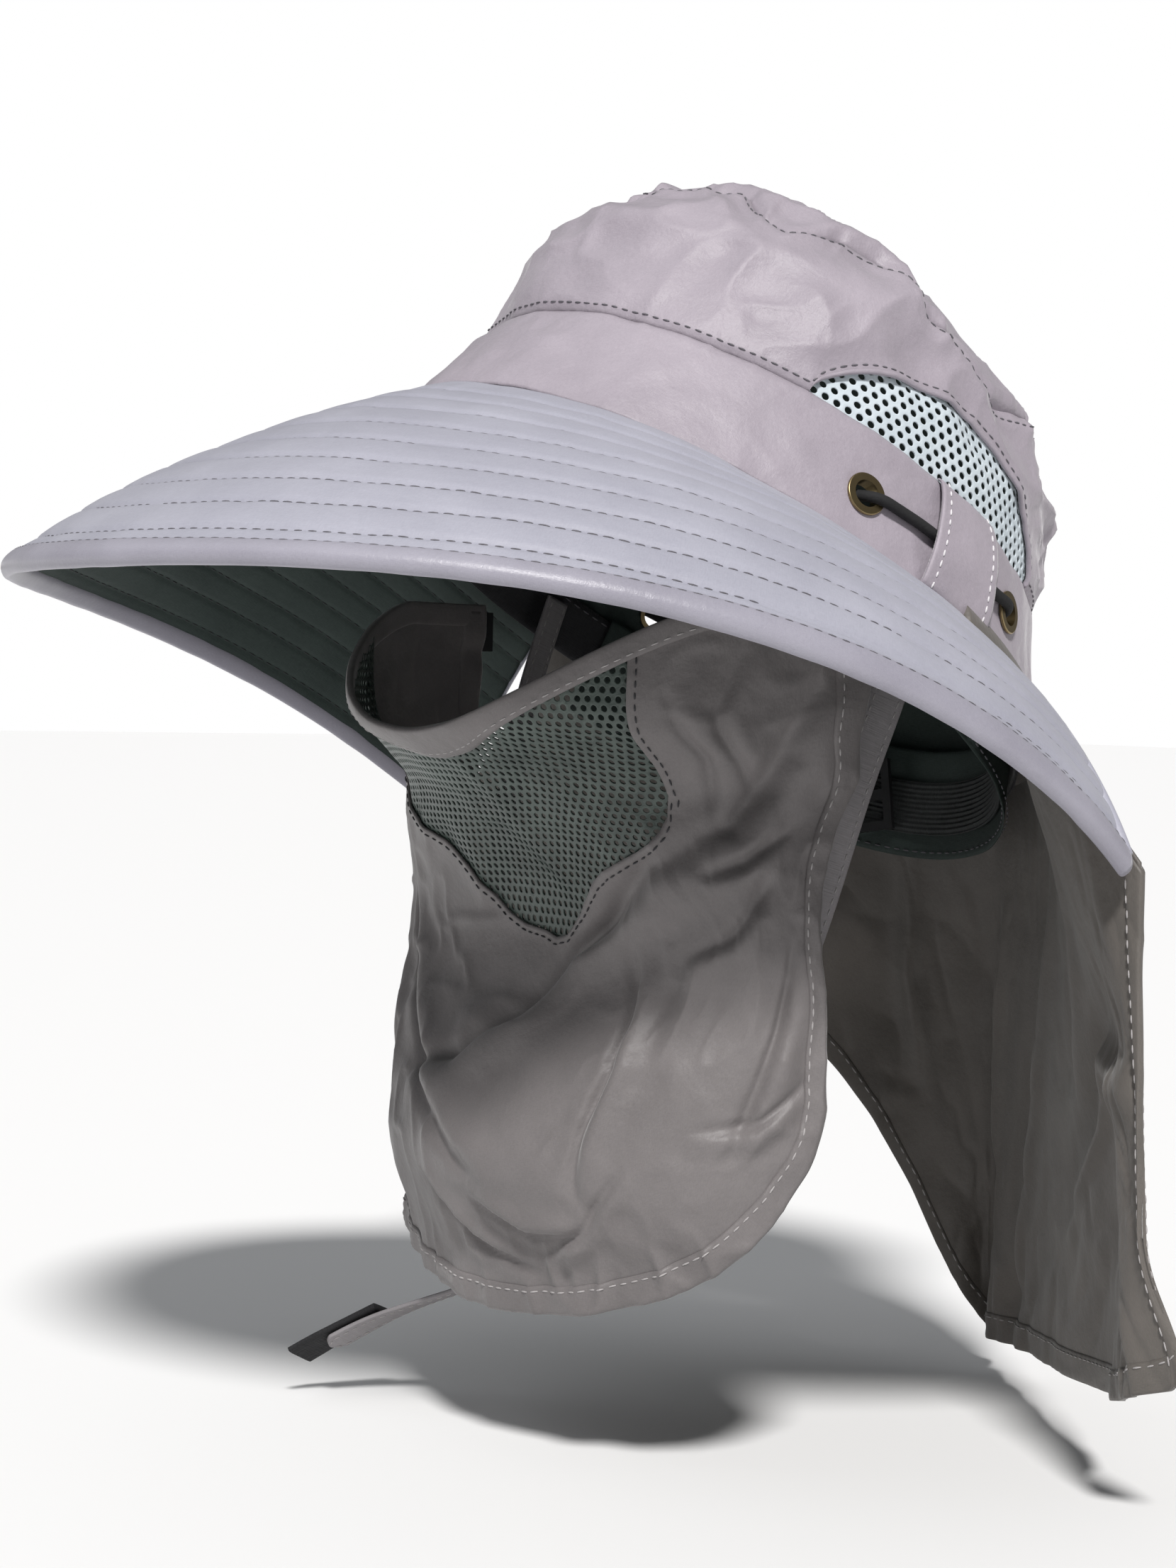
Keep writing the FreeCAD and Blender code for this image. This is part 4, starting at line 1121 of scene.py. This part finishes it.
def flapRelief(side, down):
    share = np.clip(down / np.maximum(flapLength(side), 1), 0, 1)
    flat = np.stack([side * 230, down * 0.22, 0 * down], -1)
    edge = easeBetween(1 - np.abs(side), 0.0, 0.16)
    relief = flap["flutes"] * share**1.2 * creaseNoise(flat, 42, 6) * edge
    relief += flap["flutes"] * 0.6 * share * np.sin(side * 19 + 1.6 * share) * edge
    for line, width, lift, dip in flap["folds"]:
        relief += foldAlong(side * 170, down, [(a * 170, d) for a, d in line], width, lift, dip)
    relief += flap["flare"] * easeBetween(side, 0.86, 1.0) * easeBetween(share, 0.68, 1.0) ** 1.5
    flat = np.stack([side * 230, down * 0.8, 0 * down], -1)
    crumple = 0.6 * creaseNoise(flat, 28, 16) + 0.3 * creaseNoise(flat, 10, 19)
    relief += flap["crumple"] * crumple * (0.3 + 0.7 * share)
    return relief * easeBetween(down, 1, 22)


def flapSpot(side, down, out=0.0):
    return flapPoint(side, down, flapRelief(side, down) + out)


def makeFlap():
    side, share = np.meshgrid(spread(-0.995, 0.995, 360), spread(0, 1, 130), indexing="ij")
    down = 1.2 + (flapLength(side) - 2.5) * share
    outer, inner = flapSpot(side, down, 1.5), flapSpot(side, down, 1.5 - flap["cloth"])
    if gridNormals(outer)[180, 60, 1] < 0:
        outer, inner = outer[::-1], inner[::-1]
    cloth = makeShell("flapCloth", outer, inner, [paints["flapNylonPaintedShade"]])
    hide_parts("flap_panel", "flap_seam_strip")
    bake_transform(cloth)

    low, high = -1.5, 5.5
    angle, height = np.meshgrid(spread(flap["tail"], 360 - flap["tail"], 240), spread(low, high, 10),
                                indexing="ij")
    share = (height - low) / (high - low)
    strip = makeShell("flapSeamStrip", tipBack(crownPoint(angle, height, 4.4 - 2.6 * share**2)),
                      tipBack(crownPoint(angle, height, 0.3 + 0 * share)), [paints["flapNylonPaintedShade"]])
    place(strip, "hat", "flap_cloth")

    side, share = np.meshgrid(spread(-1, 1, 360), spread(0, 1, 10), indexing="ij")
    length = flapLength(side)
    down = length - flap["edge"] * (1 - share)
    swell = 1 - np.abs(2 * share - 1) ** 6
    hems = [("flapHemBottom", flapSpot(side, down, 1.6 + 0.5 * swell),
             flapSpot(side, down, 0.5 - 0.3 * swell))]
    for sign in (-1, 1):
        near, share = np.meshgrid(spread(0, flap["hemShare"], 10), spread(0, 1, 120), indexing="ij")
        side = sign * (1 - near[::sign])
        down = 2.5 + (flapLength(side) - 2.5) * share
        swell = 1 - np.abs(2 * (near[::sign] / flap["hemShare"]) - 1) ** 6
        name = "flapHemLeft" if sign > 0 else "flapHemRight"
        hems.append((name, flapSpot(side, down, 1.7 + 0.5 * swell), flapSpot(side, down, 0.4 - 0.3 * swell)))
    for name, outer, inner in hems:
        facing = gridNormals(outer)
        middle = facing[facing.shape[0] // 2, facing.shape[1] // 2]
        towards = (outer - inner)[facing.shape[0] // 2, facing.shape[1] // 2]
        if middle @ towards < 0:
            outer, inner = outer[::-1], inner[::-1]
        piece = makeShell(name, outer, inner, [paints["flapNylonPaintedShade"]])
        if name == "flapHemBottom":
            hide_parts("flap_hem")
        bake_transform(piece)
    line = spread(-0.985, 0.985, 500)
    rows = [flapSpot(line, flapLength(line) - flap["edge"] + 1.2, 2.15)]
    for sign in (-1, 1):
        down = spread(4, float(flapLength(sign * 0.975)) - 5, 200)
        rows.append(flapSpot(sign * 0.971 + 0 * down, down, 2.2))
        rows.append(flapSpot(sign * 0.971 + 0 * down, down, 0.1))
    rows.append(flapSpot(line, flapLength(line) - flap["edge"] + 1.2, 0.15))
    stitches = sewRows("flapStitches", rows, "paleThread", None, None, 3.4, 2.3, 0.5, 31)
    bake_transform(stitches)
    print("neck flap made")
    return cloth


strap = {
    "left": [(73.5, 3, 0), (75.5, -4, -18), (74, -13, -42), (68, -27, -90), (42, -38, -140), (4, -43, -170),
             (-36, -45, -182)],
    "right": [(-73.5, 3, 0), (-75.5, -6, -30), (-72, -17, -80), (-66, -29, -130), (-56, -36, -168)],
    "tip": [(-38, -45.5, -183), (-48, -51, -187.5), (-60, -60, -194), (-72, -70, -203)],
    "pad": [(-60, -60, -194), (-66, -65, -198.4), (-72, -70, -203), (-78, -75.2, -208)],
    "width": 10.0, "cloth": 1.4,
}


def smoothLine(points, count):
    # natural cubic line through the points, spaced by their distances
    points = np.array(points, float)
    knots = np.concatenate([[0], np.cumsum(np.linalg.norm(np.diff(points, axis=0), axis=1))])
    gaps = np.diff(knots)
    size = len(points)
    system, right = np.eye(size), np.zeros((size, 3))
    for k in range(1, size - 1):
        system[k, k - 1:k + 2] = gaps[k - 1], 2 * (gaps[k - 1] + gaps[k]), gaps[k]
        right[k] = 6 * ((points[k + 1] - points[k]) / gaps[k] - (points[k] - points[k - 1]) / gaps[k - 1])
    bend = np.linalg.solve(system, right)
    at = spread(0, knots[-1], count)
    k = np.clip(np.searchsorted(knots, at, side="right") - 1, 0, size - 2)
    gap, a, b = gaps[k][:, None], (knots[k + 1] - at)[:, None], (at - knots[k])[:, None]
    return (bend[k] * a**3 + bend[k + 1] * b**3) / (6 * gap) + (points[k] / gap - bend[k] * gap / 6) * a + (
        points[k + 1] / gap - bend[k + 1] * gap / 6) * b


def strapFrame(route, across, count):
    line = smoothLine(route, count)
    ahead = np.gradient(line, axis=0)
    ahead /= np.linalg.norm(ahead, axis=1, keepdims=True)
    side = np.array(across) - ahead * (ahead @ np.array(across))[:, None]
    side /= np.linalg.norm(side, axis=1, keepdims=True)
    return line, side, np.cross(ahead, side)


def makeStrap():
    half, thick = strap["width"] / 2, strap["cloth"] / 2
    rows = []
    lean, leanRight = (0.3, 1, 0.2), (-0.3, 1, 0.2)     # which way the webbing's width lies
    for name, route, across, low, high, wide, paintName, slot, node in (
        ("strapLeft", "left", lean, -thick, thick, half, "strapWebbing", "webbing", "strap_left"),
        ("strapRight", "right", leanRight, -thick, thick, half, "strapWebbing", "webbing", "strap_right"),
        ("strapTongue", "tip", lean, 0.9, 2.3, half, "strapWebbing", "webbing", "strap_tongue"),
        ("strapHookPad", "pad", lean, -1.3, 0.4, half + 1, "hookPile", "hook_plastic", "strap_hook_pad"),
    ):
        line, side, face = strapFrame(strap[route], across, 160 if route in ("left", "right") else 60)
        share = spread(0, 1, len(line) - 1)
        if route == "tip":
            wide = wide * np.minimum(1, ((1 - share) / 0.06 + 0.02)) ** 0.5
        else:
            wide = np.full(len(line), wide)
        middle = line + face * (low + high) / 2
        piece = rollAlong(name, middle, side, face, wide, (high - low) / 2, [paints[paintName]], 24, 5)
        place(piece, "chin_strap", slot, node)
        if name != "strapHookPad":
            for sign in (-1, 1):
                out = side[2:-2] * (wide[2:-2, None] - 1.7) * sign
                rows.append(line[2:-2] + out + face[2:-2] * (high + 0.02))
    sewRows("strapStitches", rows, "paleThread", "chin_strap", "webbing", 2.8, 1.8, 0.4, 41)
    print("chin strap made")


makeCrown()
makeVents()
makeTabs()
makeInside()
makeBrim()
maskCloth = makeMask()
flapCloth = makeFlap()
makeStrap()


def clothArea(piece):
    return sum(face.area for face in piece.data.polygons) / 2


print("mask cloth area", round(clothArea(maskCloth), 5), "flap cloth area", round(clothArea(flapCloth), 5))

studio = {
    "floorDrop": 8.0, "distance": 815.0, "azimuth": 53.0, "elevation": 1.8, "roll": 1.3,
    "shiftRight": 33.27, "shiftUp": 49.33, "lens": 70.8,
    "key": 3.9, "top": 0.5, "sky": 0.16,
}


def makeStudio():
    low = cadBox[0].z - studio["floorDrop"] / 1000
    mesh = bpy.data.meshes.new("floor")
    mesh.from_pydata([(-9, -9, low), (9, -9, low), (9, 9, low), (-9, 9, low)], [], [(0, 1, 2, 3)])
    floor = bpy.data.objects.new("floor", mesh)
    bpy.context.scene.collection.objects.link(floor)
    paint = Paint("paleFloor", Roughness=0.8)
    paint.shader.inputs["Base Color"].default_value = (0.86, 0.86, 0.86, 1)
    mesh.materials.append(paint.material)

    world = bpy.data.worlds.new("studio")
    bpy.context.scene.world = world
    world.use_nodes = True
    tree = world.node_tree
    soft = tree.nodes["Background"]
    soft.inputs[0].default_value, soft.inputs[1].default_value = (0.96, 0.98, 1.0, 1), studio["sky"]
    plain = tree.nodes.new("ShaderNodeBackground")
    plain.inputs[0].default_value, plain.inputs[1].default_value = (1, 1, 1, 1), 1.0
    seen, mixed = tree.nodes.new("ShaderNodeLightPath"), tree.nodes.new("ShaderNodeMixShader")
    tree.links.new(seen.outputs["Is Camera Ray"], mixed.inputs[0])
    tree.links.new(soft.outputs[0], mixed.inputs[1])
    tree.links.new(plain.outputs[0], mixed.inputs[2])
    tree.links.new(mixed.outputs[0], tree.nodes["World Output"].inputs[0])

    for name, towards, angle, power, colour in (
        ("keyLight", (0.95, -0.62, 1.2), 9, studio["key"], (1.0, 0.985, 0.97)),
        ("topLight", (-0.5, -0.5, 1.3), 60, studio["top"], (0.95, 0.97, 1.0)),
    ):
        lamp = bpy.data.lights.new(name, "SUN")
        lamp.energy, lamp.angle, lamp.color = power, math.radians(angle), colour
        holder = bpy.data.objects.new(name, lamp)
        holder.rotation_mode = "QUATERNION"
        holder.rotation_quaternion = Vector(towards).to_track_quat("Z", "Y")
        bpy.context.scene.collection.objects.link(holder)

    az, el = math.radians(studio["azimuth"]), math.radians(studio["elevation"])
    back = Vector((math.sin(az) * math.cos(el), -math.cos(az) * math.cos(el), math.sin(el)))
    right = Vector((math.cos(az), math.sin(az), 0))
    up = back.cross(right)
    c, s = math.cos(math.radians(studio["roll"])), math.sin(math.radians(studio["roll"]))
    rightRolled, upRolled = right * c + up * s, up * c - right * s
    camera = bpy.data.objects.new("camera", bpy.data.cameras.new("camera"))
    stand = back * studio["distance"] - rightRolled * studio["shiftRight"] - upRolled * studio["shiftUp"]
    axes = Matrix((rightRolled, upRolled, back)).transposed()
    camera.matrix_world = Matrix.Translation(stand / 1000) @ axes.to_4x4()
    camera.data.lens, camera.data.sensor_width = studio["lens"], 36
    camera.data.clip_start, camera.data.clip_end = 0.02, 50
    bpy.context.scene.collection.objects.link(camera)
    bpy.context.scene.camera = camera
    bpy.context.scene.view_settings.view_transform = "Standard"
    print("studio set")


makeStudio()
